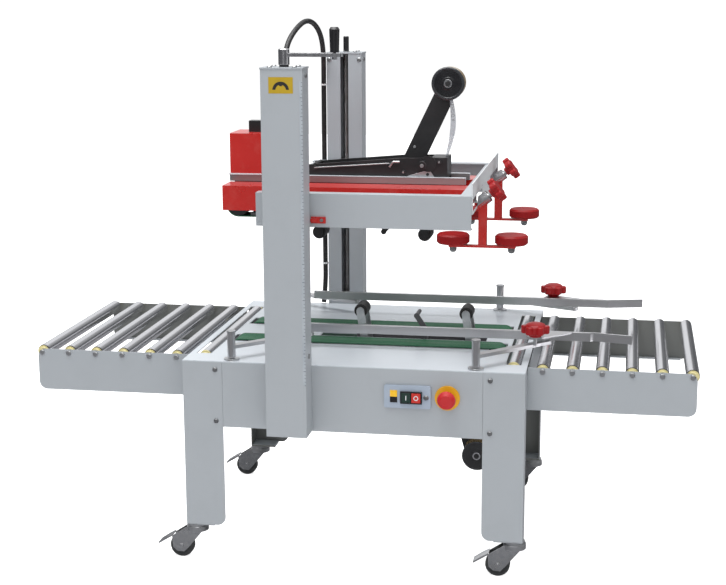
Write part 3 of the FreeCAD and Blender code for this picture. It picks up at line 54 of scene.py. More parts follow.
class Look:
    """A node material round one Principled shader, with short helpers for its graph."""

    def __init__(self, name, **uniform):
        self.mat = bpy.data.materials.new(name)
        self.mat.use_nodes = True
        self.tree = self.mat.node_tree
        self.shader = self.tree.nodes["Principled BSDF"]
        for socket, value in uniform.items():
            self.shader.inputs[socket.replace("_", " ")].default_value = value
        self.place = self.add("ShaderNodeTexCoord").outputs["Object"]
        self.x, self.y, self.z = self.add("ShaderNodeSeparateXYZ", {"Vector": self.place}).outputs
        self.heights = None

    def add(self, kind, inputs=None, **settings):
        made = self.tree.nodes.new(kind)
        for key, value in settings.items():
            setattr(made, key, value)
        for key, value in (inputs or {}).items():
            self.feed(made.inputs[key], value)
        return made

    def feed(self, socket, value):
        if isinstance(value, bpy.types.NodeSocket):
            self.tree.links.new(value, socket)
        else:
            socket.default_value = value

    def math(self, operation, a, b=0.0, c=0.0):
        return self.add("ShaderNodeMath", {0: a, 1: b, 2: c}, operation=operation).outputs[0]

    def ramp(self, value, low, high, out_low=0.0, out_high=1.0, smooth=False):
        kind = "SMOOTHSTEP" if smooth else "LINEAR"
        return self.add("ShaderNodeMapRange", {"Value": value, "From Min": low, "From Max": high,
                                               "To Min": out_low, "To Max": out_high},
                        interpolation_type=kind).outputs["Result"]

    def noise(self, scale, detail=3.0, stretch=(1, 1, 1), rough=0.5):
        spread = self.add("ShaderNodeVectorMath", {0: self.place, 1: stretch},
                          operation="MULTIPLY").outputs[0]
        return self.add("ShaderNodeTexNoise", {"Vector": spread, "Scale": scale, "Detail": detail,
                                               "Roughness": rough}).outputs["Fac"]

    def mix(self, fac, a, b):
        made = self.add("ShaderNodeMix", data_type="RGBA")
        for index, value in ((0, fac), (6, a), (7, b)):
            self.feed(made.inputs[index], value)
        return made.outputs[2]

    def blend(self, fac, a, b):
        made = self.add("ShaderNodeMix", data_type="FLOAT")
        for index, value in ((0, fac), (2, a), (3, b)):
            self.feed(made.inputs[index], value)
        return made.outputs[0]

    def edge(self, radius=0.0018, low=0.02, high=0.25):
        """1 along sharp edges and 0 on flats, from how far a bevelled normal leans."""
        bevel = self.add("ShaderNodeBevel", {"Radius": radius}, samples=4).outputs[0]
        true = self.add("ShaderNodeNewGeometry").outputs["Normal"]
        lean = self.add("ShaderNodeVectorMath", {0: bevel, 1: true},
                        operation="DOT_PRODUCT").outputs["Value"]
        return self.ramp(lean, 1.0 - low, 1.0 - high)

    def bump(self, height, distance, strength=1.0):
        inputs = {"Height": height, "Distance": distance, "Strength": strength}
        if self.heights is None:
            inputs["Normal"] = self.add("ShaderNodeBevel", {"Radius": 0.0009}, samples=4).outputs[0]
        else:
            inputs["Normal"] = self.heights
        self.heights = self.add("ShaderNodeBump", inputs).outputs[0]
        return self

    def set(self, colour=None, rough=None, metal=None):
        for socket, value in (("Base Color", colour), ("Roughness", rough), ("Metallic", metal)):
            if value is not None:
                self.feed(self.shader.inputs[socket], value)
        if self.heights is not None:
            self.feed(self.shader.inputs["Normal"], self.heights)
        return self.mat


def rgb(red, green, blue):
    """A colour given as seen on a screen, 0 to 255, as the linear values that shaders take."""
    def linear(value):
        share = value / 255
        return share / 12.92 if share <= 0.04045 else ((share + 0.055) / 1.055) ** 2.4
    return (linear(red), linear(green), linear(blue), 1.0)


def shade(colour, factor):
    return (*(min(1.0, c * factor) for c in colour[:3]), 1.0)


# ------------------------------------------------------------------ materials

def powder_coat(name, colour, wear=0.25, rough=0.36):
    """Powder coat: fine orange peel, faint grime, and edges where the coat is rubbed thin."""
    look = Look(name)
    cloud = look.noise(3.2, 4.0)
    grime = look.ramp(look.noise(11.0, 6.0, rough=0.65), 0.52, 0.78)
    chips = look.math("MULTIPLY", look.edge(), look.ramp(look.noise(70.0, 4.0), 0.52, 0.62))
    base = look.mix(cloud, shade(colour, 0.955), shade(colour, 1.03))
    base = look.mix(look.math("MULTIPLY", grime, 0.10), base, shade(colour, 0.62))
    base = look.mix(look.math("MULTIPLY", chips, wear), base, (0.16, 0.16, 0.165, 1))
    look.bump(look.noise(620.0, 2.0), 0.00012, 0.35)
    look.bump(look.noise(28.0, 2.0), 0.0006, 0.12)
    return look.set(base, look.ramp(cloud, 0.2, 0.8, rough - 0.05, rough + 0.07))


def enamel(name, colour, rough=0.27, wear=0.35, coat=0.35, gloss=0.5):
    look = Look(name, Coat_Weight=coat, Coat_Roughness=0.12, Specular_IOR_Level=gloss)
    cloud = look.noise(6.0, 4.0)
    chips = look.math("MULTIPLY", look.edge(0.0014), look.ramp(look.noise(95.0, 4.0), 0.5, 0.62))
    dust = look.ramp(look.noise(24.0, 6.0, rough=0.7), 0.5, 0.85)
    base = look.mix(cloud, shade(colour, 0.86), shade(colour, 1.08))
    base = look.mix(look.math("MULTIPLY", dust, 0.3 * coat), base, rgb(205, 165, 155))
    base = look.mix(look.math("MULTIPLY", chips, wear), base, (0.12, 0.10, 0.10, 1))
    look.bump(look.noise(260.0, 2.0), 0.0002, 0.25)
    return look.set(base, look.ramp(cloud, 0.2, 0.8, rough - 0.05, rough + 0.1))


def drawn_steel(name, tone=0.66, rough=0.2, axis="y", rings=1.0, warm=0.0):
    """Drawn or turned steel: fine rings round the axis, drawn streaks along it, faint stains."""
    look = Look(name, Metallic=1.0)
    fine = {"x": (420, 6, 6), "y": (6, 420, 6), "z": (6, 6, 420)}[axis]
    along = {"x": (3, 160, 160), "y": (160, 3, 160), "z": (160, 160, 3)}[axis]
    ring = look.noise(1.0, 3.0, fine)
    streak = look.noise(1.0, 4.0, along)
    stain = look.ramp(look.noise(7.0, 5.0, rough=0.55), 0.5, 0.8)
    base = look.mix(streak, (tone * 0.95, tone * 0.95, tone * (0.98 - warm), 1),
                    (tone * 1.06, tone * 1.06, tone * (1.09 - warm), 1))
    base = look.mix(look.math("MULTIPLY", stain, 0.14), base,
                    (tone * 0.6, tone * 0.58, tone * 0.56, 1))
    look.bump(ring, 0.00008, 0.16 * rings)
    spread = look.math("ADD", look.math("MULTIPLY", stain, 0.06),
                       look.ramp(streak, 0.25, 0.75, rough - 0.02, rough + 0.04))
    return look.set(base, spread)


def zinc(name, tone=0.6, rough=0.32, spangle=46.0):
    """Bright zinc: cloudy patches, a fine grain and rubbed edges."""
    look = Look(name, Metallic=1.0)
    cells = look.add("ShaderNodeTexVoronoi", {"Vector": look.place, "Scale": spangle}).outputs["Color"]
    grain = look.add("ShaderNodeRGBToBW", {"Color": cells}).outputs[0]
    cloud = look.noise(19.0, 5.0)
    base = look.mix(grain, (tone * 0.84, tone * 0.86, tone * 0.89, 1),
                    (tone * 1.06, tone * 1.07, tone * 1.08, 1))
    base = look.mix(look.ramp(cloud, 0.45, 0.8, 0.0, 0.42), base,
                    (tone * 0.6, tone * 0.6, tone * 0.59, 1))
    base = look.mix(look.math("MULTIPLY", look.edge(), 0.5), base, (0.82, 0.82, 0.83, 1))
    look.bump(look.noise(420.0, 3.0), 0.00012, 0.4)
    return look.set(base, look.ramp(cloud, 0.25, 0.8, rough - 0.08, rough + 0.14))


def black_steel(name, tone=0.016, rough=0.34):
    """Black paint with rubbed edges and faint smears."""
    look = Look(name)
    smear = look.noise(9.0, 5.0, (1, 1, 2.6), 0.62)
    edge = look.math("MULTIPLY", look.edge(0.0016), look.ramp(look.noise(80.0, 3.0), 0.38, 0.62))
    base = look.mix(smear, (tone * 0.8, tone * 0.8, tone * 0.9, 1),
                    (tone * 1.7, tone * 1.65, tone * 1.75, 1))
    base = look.mix(look.math("MULTIPLY", edge, 0.55), base, (0.15, 0.15, 0.155, 1))
    look.bump(look.noise(380.0, 2.0), 0.00016, 0.3)
    return look.set(base, look.ramp(smear, 0.3, 0.75, rough - 0.07, rough + 0.14))


def rubber(name, colour, rough=0.62, grain=520.0):
    look = Look(name)
    cloud = look.noise(17.0, 5.0)
    dust = look.ramp(look.noise(60.0, 5.0, rough=0.7), 0.5, 0.8)
    base = look.mix(cloud, shade(colour, 0.8), shade(colour, 1.25))
    base = look.mix(look.math("MULTIPLY", dust, 0.12), base, (0.32, 0.31, 0.29, 1))
    look.bump(look.noise(grain, 3.0), 0.0003, 0.4)
    return look.set(base, look.ramp(cloud, 0.2, 0.8, rough - 0.07, rough + 0.1))


def belt_cover(name):
    """Green belting: a fine cross weave pressed into the cover, dusty along its middle."""
    look = Look(name)
    warp = look.math("SINE", look.math("MULTIPLY", look.x, 2600.0))
    weft = look.math("SINE", look.math("MULTIPLY", look.y, 2600.0))
    weave = look.math("MULTIPLY", warp, weft)
    scuff = look.ramp(look.noise(1.0, 5.0, (5, 60, 60)), 0.45, 0.75)
    base = look.mix(look.noise(24.0, 4.0), rgb(24, 82, 54), rgb(36, 104, 70))
    base = look.mix(look.math("MULTIPLY", scuff, 0.22), base, rgb(96, 122, 104))
    look.bump(weave, 0.00025, 0.55)
    look.bump(look.noise(140.0, 3.0), 0.0003, 0.25)
    return look.set(base, look.ramp(scuff, 0, 1, 0.66, 0.5))


def moulded(name, colour, rough=0.34, coat=0.15):
    look = Look(name, Coat_Weight=coat, Coat_Roughness=0.2)
    cloud = look.noise(30.0, 3.0)
    base = look.mix(cloud, shade(colour, 0.88), shade(colour, 1.08))
    base = look.mix(look.math("MULTIPLY", look.edge(0.0012), 0.35), base, shade(colour, 1.55))
    look.bump(look.noise(700.0, 2.0), 0.0001, 0.35)
    return look.set(base, look.ramp(cloud, 0.2, 0.8, rough - 0.05, rough + 0.08))


REEL_CENTRES = ((0.223, 1.361), (0.318, 0.236))     # x and z of the upper and lower tape rolls


def reel_plastic(name):
    """Glossy black moulding with a raised rim, painted lighter as a painted highlight, and turned rings
    round each reel's own axis.
    """
    look = Look(name, Coat_Weight=0.9, Coat_Roughness=0.06)
    reaches = []
    for centre_x, centre_z in REEL_CENTRES:
        flat = look.add("ShaderNodeCombineXYZ", {"X": look.x, "Y": 0.0, "Z": look.z}).outputs[0]
        reaches.append(look.add("ShaderNodeVectorMath", {0: flat, 1: (centre_x, 0, centre_z)},
                                operation="DISTANCE").outputs["Value"])
    reach = look.math("MINIMUM", *reaches)
    rim_and_highlight = look.ramp(reach, 0.0385, 0.0425, smooth=True)
    fall = look.ramp(reach, 0.0445, 0.0488, 0.0, -1.6, smooth=True)
    boss = look.ramp(reach, 0.0165, 0.0205, 1.0, 0.0, smooth=True)
    rings = look.math("SINE", look.math("MULTIPLY", reach, 2600.0))
    cloud = look.noise(40.0, 4.0)
    base = look.mix(cloud, rgb(16, 16, 18), rgb(30, 30, 33))
    # Painted highlight: the rim's colour is lifted towards grey.
    base = look.mix(look.math("MULTIPLY", rim_and_highlight, 0.55), base, rgb(62, 64, 68))
    relief = look.math("ADD", look.math("ADD", rim_and_highlight, fall), boss)
    look.bump(relief, 0.0016, 1.0)
    look.bump(rings, 0.00005, 0.35)
    return look.set(base, look.ramp(cloud, 0.2, 0.8, 0.1, 0.24))


def threaded_steel(name):
    """A lead screw: a trapezoid thread of 4 mm pitch with oil in its grooves."""
    look = Look(name, Metallic=1.0)
    turn = look.math("FRACT", look.math("MULTIPLY", look.z, 250.0))
    groove = look.math("ABSOLUTE", look.math("SUBTRACT", turn, 0.5))
    height = look.ramp(groove, 0.12, 0.34, smooth=True)
    base = look.mix(height, (0.16, 0.15, 0.14, 1), (0.6, 0.6, 0.61, 1))
    base = look.mix(look.ramp(look.noise(30.0, 4.0), 0.4, 0.8, 0, 0.4), base, (0.22, 0.20, 0.18, 1))
    look.bump(height, 0.0012, 0.8)
    return look.set(base, look.ramp(height, 0, 1, 0.5, 0.24))


def scale_strip(name):
    """The height scale: black ticks each 10 mm, longer ones each 50 mm, on worn white."""
    look = Look(name)
    ten = look.math("FRACT", look.math("MULTIPLY", look.z, 100.0))
    fifty = look.math("FRACT", look.math("MULTIPLY", look.z, 20.0))
    short = look.math("MULTIPLY", look.math("LESS_THAN", ten, 0.16),
                      look.math("GREATER_THAN", look.x, -0.1145))
    long = look.math("MULTIPLY", look.math("LESS_THAN", fifty, 0.035),
                     look.math("GREATER_THAN", look.x, -0.1172))
    tick = look.math("MAXIMUM", short, long)
    base = look.mix(look.noise(40.0, 4.0), rgb(150, 158, 166), rgb(178, 184, 190))
    base = look.mix(look.math("MULTIPLY", tick, 0.72), base, (0.03, 0.03, 0.035, 1))
    look.bump(look.noise(500.0, 2.0), 0.0001, 0.3)
    return look.set(base, 0.4)


def film(name):
    """Wound packing film: fine turns seen at the roll's ends and a glossy brown outside."""
    look = Look(name, Coat_Weight=0.6, Coat_Roughness=0.08)
    turns = look.noise(1.0, 4.0, (900, 40, 900))
    base = look.mix(turns, rgb(120, 96, 62), rgb(176, 150, 106))
    look.bump(turns, 0.0002, 0.3)
    return look.set(base, look.ramp(turns, 0.3, 0.7, 0.2, 0.36))


LABEL_X, LABEL_Z = -0.1695, 1.3705                  # the middle of the label's arc
ARC_RADIUS, ARC_HALF, DOT_UP, DOT_RADIUS = 0.0185, 0.0042, 0.0165, 0.0062


def crank_label(name):
    """A yellow label with a black turning arc and a dot on its crown."""
    look = Look(name, Coat_Weight=0.3, Coat_Roughness=0.2)
    across = look.math("SUBTRACT", look.x, LABEL_X)
    up = look.math("SUBTRACT", look.z, LABEL_Z)
    reach = look.math("SQRT", look.math("ADD", look.math("MULTIPLY", across, across),
                                        look.math("MULTIPLY", up, up)))
    off_ring = look.math("ABSOLUTE", look.math("SUBTRACT", reach, ARC_RADIUS))
    ring = look.math("LESS_THAN", off_ring, ARC_HALF)
    arc = look.math("MULTIPLY", ring, look.math("GREATER_THAN", up, 0.001))
    base = look.mix(look.noise(60.0, 4.0), rgb(172, 140, 17), rgb(186, 156, 27))
    dot_reach = look.math("SQRT", look.math(
        "ADD", look.math("MULTIPLY", across, across),
        look.math("POWER", look.math("SUBTRACT", up, DOT_UP), 2.0)))
    dot = look.math("LESS_THAN", dot_reach, DOT_RADIUS)
    base = look.mix(look.math("MAXIMUM", arc, dot), base, (0.02, 0.02, 0.02, 1))
    look.bump(look.noise(300.0, 3.0), 0.0001, 0.2)
    return look.set(base, 0.34)


def lamp_face(name):
    """The indicator: an amber window over a black lower half."""
    look = Look(name, Coat_Weight=0.4, Coat_Roughness=0.1)
    top = look.math("GREATER_THAN", look.z, 0.5215)
    base = look.mix(look.noise(120.0, 3.0), rgb(240, 176, 12), rgb(252, 204, 40))
    base = look.mix(top, rgb(22, 22, 24), base)
    look.bump(look.noise(500.0, 2.0), 0.0001, 0.3)
    return look.set(base, 0.3)


def clear_film(name):
    """One layer of packing film: see-through, with a soft sheen and drawn lines."""
    look = Look(name, Alpha=0.62, Coat_Weight=0.5, Coat_Roughness=0.08)
    lines = look.noise(1.0, 4.0, (90, 420, 12))
    base = look.mix(lines, rgb(182, 186, 196), rgb(224, 226, 234))
    look.bump(lines, 0.0002, 0.3)
    return look.set(base, look.ramp(lines, 0.3, 0.7, 0.12, 0.26))


PAINT = powder_coat("sheet_paint", rgb(164, 169, 174))
# Painted shade: a darker grey coat put on inner faces and undersides that lie in shade.
PAINT_SHADE = powder_coat("sheet_painted_shade", rgb(104, 106, 104), wear=0.15, rough=0.5)
# Painted light: a paler copy of the sheet paint that paints in the top light on the deck; the cartridge
# rails take it too.
LIT_PAINT = powder_coat("deck_paint", rgb(194, 200, 206), wear=0.3, rough=0.3)
RED = enamel("red_enamel", rgb(184, 26, 19))
RED_ROUGH = enamel("red_moulding", rgb(150, 10, 16), rough=0.34, wear=0.1, coat=0.12, gloss=0.32)
ROLLER = drawn_steel("roller_tube", 0.8, 0.16)
BRIGHT = drawn_steel("bright_bar", 0.62, 0.2, "z")
FLAT_STEEL = drawn_steel("rail_steel", 0.58, 0.3, "x", warm=0.01)
# Painted shade: a darker steel for the cartridge rails' side faces, where shade falls.
RAIL_SIDE_SHADE = drawn_steel("rail_side_shade", 0.38, 0.42, "x", warm=0.008)
ZINC = zinc("zinc_plate")
FORK_ZINC = zinc("fork_zinc", 0.62, 0.2, 110.0)
GALVANISED = zinc("galvanised_sheet", 0.58, 0.36, 30.0)
# Painted reflection: the galvanised end sheet's pale zinc tone, given as a matte coat that also paints
# in its bright reflection.
SHEET_PAINTED_REFLECTION = powder_coat("end_sheet_painted_reflection", rgb(206, 210, 213), wear=0.3, rough=0.36)
DARK_ZINC = zinc("dark_bolts", 0.36, 0.36)
BLACK = black_steel("black_paint")
GREY_METAL = black_steel("machine_grey", 0.07, 0.42)
BELT = belt_cover("belt_cover")
HOSE_RUBBER = rubber("hose_rubber", (0.012, 0.012, 0.013, 1), 0.42)
ROLLER_RUBBER = rubber("roller_rubber", (0.022, 0.021, 0.022, 1), 0.58)
TREAD = rubber("caster_tread", rgb(52, 54, 55), 0.45)
CAP = moulded("bearing_cap", rgb(222, 212, 160), 0.4)
CAP_DARK = moulded("bearing_rim", rgb(52, 50, 46), 0.45)
GREY_PLASTIC = moulded("plate_plastic", rgb(160, 172, 188), 0.4)
BLACK_PLASTIC = moulded("black_plastic", rgb(24, 24, 27), 0.32, 0.3)
WHITE_PLASTIC = moulded("white_tie", rgb(226, 228, 230), 0.4)
LABEL = crank_label("crank_label")
LAMP = lamp_face("indicator")
REEL_PLASTIC = reel_plastic("reel_plastic")
STRAND = clear_film("film_strand")
DISC_RED = enamel("disc_red", rgb(140, 9, 13), rough=0.5, wear=0.1, coat=0.05, gloss=0.22)
YELLOW_PLASTIC = moulded("yellow_plastic", rgb(224, 166, 18), 0.35)
GREEN_KEY = moulded("green_key", rgb(24, 52, 44), 0.28, 0.4)
RED_KEY = moulded("red_key", rgb(196, 40, 30), 0.26, 0.4)
STOP_RED = moulded("stop_red", rgb(190, 26, 32), 0.3, 0.4)
SCREW = threaded_steel("screw_thread")
SCALE = scale_strip("height_scale")
FILM = film("wound_film")


def dress(node, *materials, pick=None):
    """Gives a CAD node its materials. pick says which one a face takes, from its middle and normal."""
    mesh = nodes[node].data
    mesh.materials.clear()
    for made in materials:
        mesh.materials.append(made)
    for face in mesh.polygons:
        face.material_index = int(pick(face.center, face.normal)) if pick else 0


# Each function below takes a face's middle c and normal n, and gives its material's place in the
# list that dress() is given.

TUBE_HALF = 0.316                 # half a conveyor roller's steel tube, along y
CAP_DEPTH = 0.0035
FOOT_TOP = 0.1075                 # the top of the foot plates
DECK_TOP = 0.6012
GUIDE_RAIL_TOP = 0.6805
CLAMP_TILT = math.radians(38)
CLAMP_X, CLAMP_Z = 0.338, 1.044   # where the clamp's slanted stem starts
KNOB_START = 0.0435               # along the stem
CONTROL_FACE = -0.4161            # the front of the control plate


def roller_face(c, n):
    """Steel tube, cream cap and the dark rim between them."""
    if abs(c.y) < TUBE_HALF - 0.0002 and abs(n.y) < 0.5:
        return 0
    return 2 if abs(c.y) < TUBE_HALF + CAP_DEPTH else 1


def axle_face(c, n):
    """The table rollers' tube and caps, and the zinc axles and end screws."""
    if abs(c.x) > 0.5 or abs(c.y) > 0.3125 and n.y == 0 and c.z < 0.56:
        return 2
    return 0 if abs(c.y) < 0.3058 and abs(n.y) < 0.5 else 1


def leg_face(c, n):
    """Zinc foot plates, and painted shade: a darker coat on each folded sheet's inner faces and
    undersides.
    """
    if c.z < FOOT_TOP:
        return 1
    faces_in = n.y * c.y < -0.0001 and abs(n.y) > 0.5
    faces_middle = n.x * c.x < -0.0001 and abs(n.x) > 0.5 and abs(c.x) > 0.48
    return 2 if faces_in or faces_middle or n.z < -0.5 else 0


def extension_face(c, n):
    """Painted shade: a darker coat on the inner faces of the conveyors' side plates."""
    return abs(n.y) > 0.5 and n.y * c.y < 0 and abs(c.y) > 0.325


def column_face(c, n):
    """The height scale on the front column, and the columns' grey lower ends."""
    on_scale = c.y < -0.48475 and c.x > -0.123 and 0.559 < c.z < 1.396 and n.y < -0.5
    low_end = c.z < 0.4565 and abs(c.y) < 0.481 and abs(n.z) > 0.5
    return 1 if on_scale else (2 if low_end else 0)


def hose_tie(c, n):
    """The two white ties that hold the hose to the rear column."""
    return c.y > 0.39 and (1.31 < c.z < 1.35 or 0.72 < c.z < 0.76)


def bracket_face(c, n):
    """Red post and bar, zinc clamp, moulded knob with its neck, and dark domed nuts."""
    along = (c.x - CLAMP_X) * math.cos(CLAMP_TILT) + (c.z - CLAMP_Z) * math.sin(CLAMP_TILT)
    if along > KNOB_START and c.z > 1.05:
        return 2
    if c.z < 0.9195:
        return 3
    on_post = c.x < 0.3622 and c.z < 1.0462
    pin = 0.9265 < c.z < 0.962 and abs(c.x - 0.35) > 0.02
    return int(c.z > 1.03 and not on_post or pin)


def crank_face(c, n):
    """The screw's thread, the bright hub and arm, and the black grip and collar."""
    grip = c.z > 1.4685 and c.x > -0.06
    collar = 1.4304 < c.z < 1.4362
    return 2 if grip or collar else int(c.z > 1.4355)


def beam_face(c, n):
    """Painted beams, the end sheet in a pale coat with painted reflection, grey carriages, cartridge
    rails in the paler paint with painted top light, and painted shade on their webs.
    """
    # the end sheet: pale coat with painted reflection
    if c.x > 0.3335 or c.x > 0.3329 and abs(c.y) < 0.35:
        return 1
    if abs(c.y) > 0.3972:
        return 2
    # painted shade on the cartridge rails' side faces
    if abs(n.y) > 0.5 and abs(c.y) < 0.069 and 1.0702 < c.z < 1.0899:
        return 4
    # the cartridge rails in the paler paint with painted top light
    return 3 if abs(c.y) < 0.17 and c.x < 0.3 else 0


def drive_face(c, n):
    """Red covers, the black gland on the motor's top, and the grey drums and slide beds."""
    on_gland = c.z > 1.2115 and abs(c.x + 0.35) < 0.0295 and abs(c.y) < 0.0175
    if on_gland and not (n.z > 0.5 and c.z < 1.213):
        return 1
    in_guard = 0.0758 < abs(c.y) < 0.1545 and c.z < 1.0655
    return 2 if c.z < 1.0705 and (abs(c.y) < 0.0605 or c.z < 0.9935 or in_guard) else 0


def reel_face(c, n):
    """Wound film, the black disc in front of it, and the bright hub."""
    return 2 if c.y < -0.0321 else int(c.y < -0.0289)


def control_face(c, n):
    """The pale plate, the black key surround, the indicator, and the emergency stop's ring."""
    if c.x > 0.237:
        return 2
    if c.y >= CONTROL_FACE:
        return 0
    return 1 if 0.1415 < c.x < 0.2035 else (3 if c.x < 0.135 else 0)


dress("table_panels", PAINT)
dress("legs", PAINT, ZINC, PAINT_SHADE, pick=leg_face)
dress("deck", LIT_PAINT, ZINC, pick=lambda c, n: c.z > DECK_TOP)
dress("extension_sides", PAINT, PAINT_SHADE, pick=extension_face)
dress("columns", PAINT, SCALE, GREY_METAL, pick=column_face)
dress("fasteners", DARK_ZINC, WHITE_PLASTIC, pick=hose_tie)
dress("roller_axles", ROLLER, CAP, ZINC, pick=axle_face)
for end in ENDS:
    for place in range(1, 7):
        dress(f"{end}_roller_{place}", ROLLER, CAP, CAP_DARK, pick=roller_face)
    for side in SIDES:
        dress(f"{end}_{side}_caster_fork", FORK_ZINC, ZINC, pick=lambda c, n: c.z > 0.0843)
        dress(f"{end}_{side}_caster_wheel", TREAD)
        dress(f"{end}_{side}_rail_link", FLAT_STEEL)
for side in SIDES:
    dress(f"{side}_guide_rail", FLAT_STEEL, RED_ROUGH, pick=lambda c, n: c.z > GUIDE_RAIL_TOP)
    dress(f"{side}_press_bracket", RED, ZINC, RED_ROUGH, DARK_ZINC, pick=bracket_face)
    for place in ("left", "right"):
        dress(f"{side}_{place}_disc", DISC_RED)
dress("lower_belts", BELT)
dress("upper_belts", BELT)
dress("lower_drive", GREY_METAL, ZINC, pick=lambda c, n: abs(c.x) < 0.361 and c.z > 0.58)
dress("upper_drum", BLACK)
dress("crank", SCREW, BRIGHT, BLACK_PLASTIC, pick=crank_face)
dress("rear_screw", SCREW, BLACK_PLASTIC, pick=lambda c, n: c.z > 1.4319)
dress("head_beams", PAINT, SHEET_PAINTED_REFLECTION, GREY_METAL, LIT_PAINT, RAIL_SIDE_SHADE, pick=beam_face)
dress("head_drive", RED, BLACK_PLASTIC, GREY_METAL, pick=drive_face)
dress("upper_tape_frame", BLACK)
dress("lower_tape_frame", GREY_METAL, BLACK, pick=lambda c, n: c.z < 0.45)
for name in ("upper_tape_roll", "lower_tape_roll"):
    dress(name, FILM, REEL_PLASTIC, BRIGHT, pick=reel_face)
for name in ("upper_front_arm", "upper_rear_arm"):
    dress(name, BLACK, ROLLER_RUBBER, pick=lambda c, n: abs(c.y) < 0.0311 and c.z < 0.94)
for name in ("lower_front_arm", "lower_rear_arm"):
    dress(name, ZINC, ROLLER_RUBBER, pick=lambda c, n: abs(c.y) < 0.0311 and c.z > 0.655)
dress("start_button", GREEN_KEY)
dress("stop_button", RED_KEY)
dress("emergency_stop", STOP_RED)
dress("control_plate", GREY_PLASTIC, BLACK_PLASTIC, YELLOW_PLASTIC, LAMP, pick=control_face)


# ------------------------------------------------------------------ small trim

def add_piece(name, body, material, build):
    """A small part built in a bmesh, which moves with a CAD body."""
    mesh = bpy.data.meshes.new(name)
    made = bmesh.new()
    build(made)
    made.to_mesh(mesh)
    made.free()
    mesh.materials.append(material)
    piece = bpy.data.objects.new(name, mesh)
    scene.collection.objects.link(piece)
    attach(piece, body)
    return piece


def box_into(made, low, high):
    middle = (Vector(low) + Vector(high)) / 2
    size = Vector(high) - Vector(low)
    bmesh.ops.create_cube(made, size=1.0,
                          matrix=Matrix.Translation(middle) @ Matrix.Diagonal((*size, 1.0)))


def rod_into(made, start, end, radius, sides=28):
    run = Vector(end) - Vector(start)
    turn = Vector((0, 0, 1)).rotation_difference(run).to_matrix().to_4x4()
    middle = (Vector(start) + Vector(end)) / 2
    bmesh.ops.create_cone(made, cap_ends=True, segments=sides, radius1=radius, radius2=radius,
                          depth=run.length, matrix=Matrix.Translation(middle) @ turn)


def ring_into(made, centre, outer, inner, depth, sides=32):
    """A flat ring that faces the front."""
    rims = []
    for radius, y in ((outer, 0), (inner, 0), (inner, depth), (outer, depth)):
        rims.append([made.verts.new((centre[0] + radius * math.cos(a), centre[1] + y,
                                     centre[2] + radius * math.sin(a)))
                     for a in (2 * math.pi * k / sides for k in range(sides))])
    for one, other in zip(rims, rims[1:] + rims[:1]):
        for k in range(sides):
            made.faces.new((one[k], one[(k + 1) % sides], other[(k + 1) % sides], other[k]))
    bmesh.ops.recalc_face_normals(made, faces=made.faces)


def add_boxes(name, body, slot, material, *corners):
    def build(made):
        for low, high in corners:
            box_into(made, low, high)
    return add_piece(name, body, material, build)


def add_rods(name, body, slot, material, *rods):
    def build(made):
        for start, end, radius in rods:
            rod_into(made, start, end, radius)
    return add_piece(name, body, material, build)


add_boxes("crank_turning_label", "machine", "painted_sheet", LABEL,
          ((-0.203, -0.4846, 1.3615), (-0.136, -0.4841, 1.405)))
add_boxes("height_pointer", "head", "red_paint", RED,
          ((-0.109, -0.4025, 1.0015), (-0.068, -0.3968, 1.0195)),
          ((-0.1095, -0.4085, 1.006), (-0.092, -0.3968, 1.015)))
add_rods("pointer_bolt", "head", "zinc_steel", DARK_ZINC,
         ((-0.079, -0.4055, 1.0105), (-0.079, -0.402, 1.0105), 0.0045))
add_boxes("start_mark", "start_button", "green_plastic", WHITE_PLASTIC,
          ((0.1573, -0.4244, 0.5138), (0.1597, -0.4239, 0.5272)))


add_piece("stop_mark", "stop_button", WHITE_PLASTIC,
          lambda made: ring_into(made, (0.1865, -0.4244, 0.5205), 0.0068, 0.0046, 0.0005))


PLATE_FACE = -0.048
CARTRIDGE_PINS = ((0.1505, 1.1234, 0.0125, 0.009), (0.0948, 1.103, 0.006, 0.006),
                  (0.2007, 1.1339, 0.0065, 0.005), (-0.172, 1.112, 0.007, 0.005))


def add_cartridge_trim():
    """Pivot bosses, the link rod with its bent lever, and the small bracket on the front plate."""
    add_rods("cartridge_bosses", "head", "cartridge_black", BLACK,
             *(((x, PLATE_FACE, z), (x, PLATE_FACE - depth, z), radius)
               for x, z, radius, depth in CARTRIDGE_PINS),
             ((0.168, PLATE_FACE, 1.128), (0.168, PLATE_FACE - 0.0025, 1.128), 0.0235))
    add_rods("cartridge_screws", "head", "zinc_steel", ZINC,
             *(((x, PLATE_FACE - depth, z), (x, PLATE_FACE - depth - 0.0015, z), radius * 0.45)
               for x, z, radius, depth in CARTRIDGE_PINS[:3]),
             ((0.1164, 0.0335, 1.1693), (0.1164, 0.031, 1.1693), 0.004))
    add_rods("link_rod", "head", "zinc_steel", DARK_ZINC,
             ((-0.172, PLATE_FACE - 0.004, 1.112), (0.0534, PLATE_FACE - 0.004, 1.1285), 0.0018))
    add_rods("link_lever", "head", "zinc_steel", ZINC,
             ((0.0534, PLATE_FACE - 0.004, 1.1182), (0.0642, PLATE_FACE - 0.004, 1.1329), 0.0032),
             ((0.0642, PLATE_FACE - 0.004, 1.1329), (0.0841, PLATE_FACE - 0.004, 1.1332), 0.0032))

    def bracket(made):
        face = [made.verts.new((x, y, z)) for y in (PLATE_FACE, PLATE_FACE - 0.002)
                for x, z in ((0.104, 1.0905), (0.186, 1.0905), (0.174, 1.108), (0.160, 1.108))]
        bmesh.ops.convex_hull(made, input=face)

    add_piece("cartridge_bracket", "head", GALVANISED, bracket)
    add_rods("bracket_bolt", "head", "zinc_steel", BLACK,
             ((0.167, PLATE_FACE - 0.002, 1.0975), (0.167, PLATE_FACE - 0.005, 1.0975), 0.0045))


add_cartridge_trim()


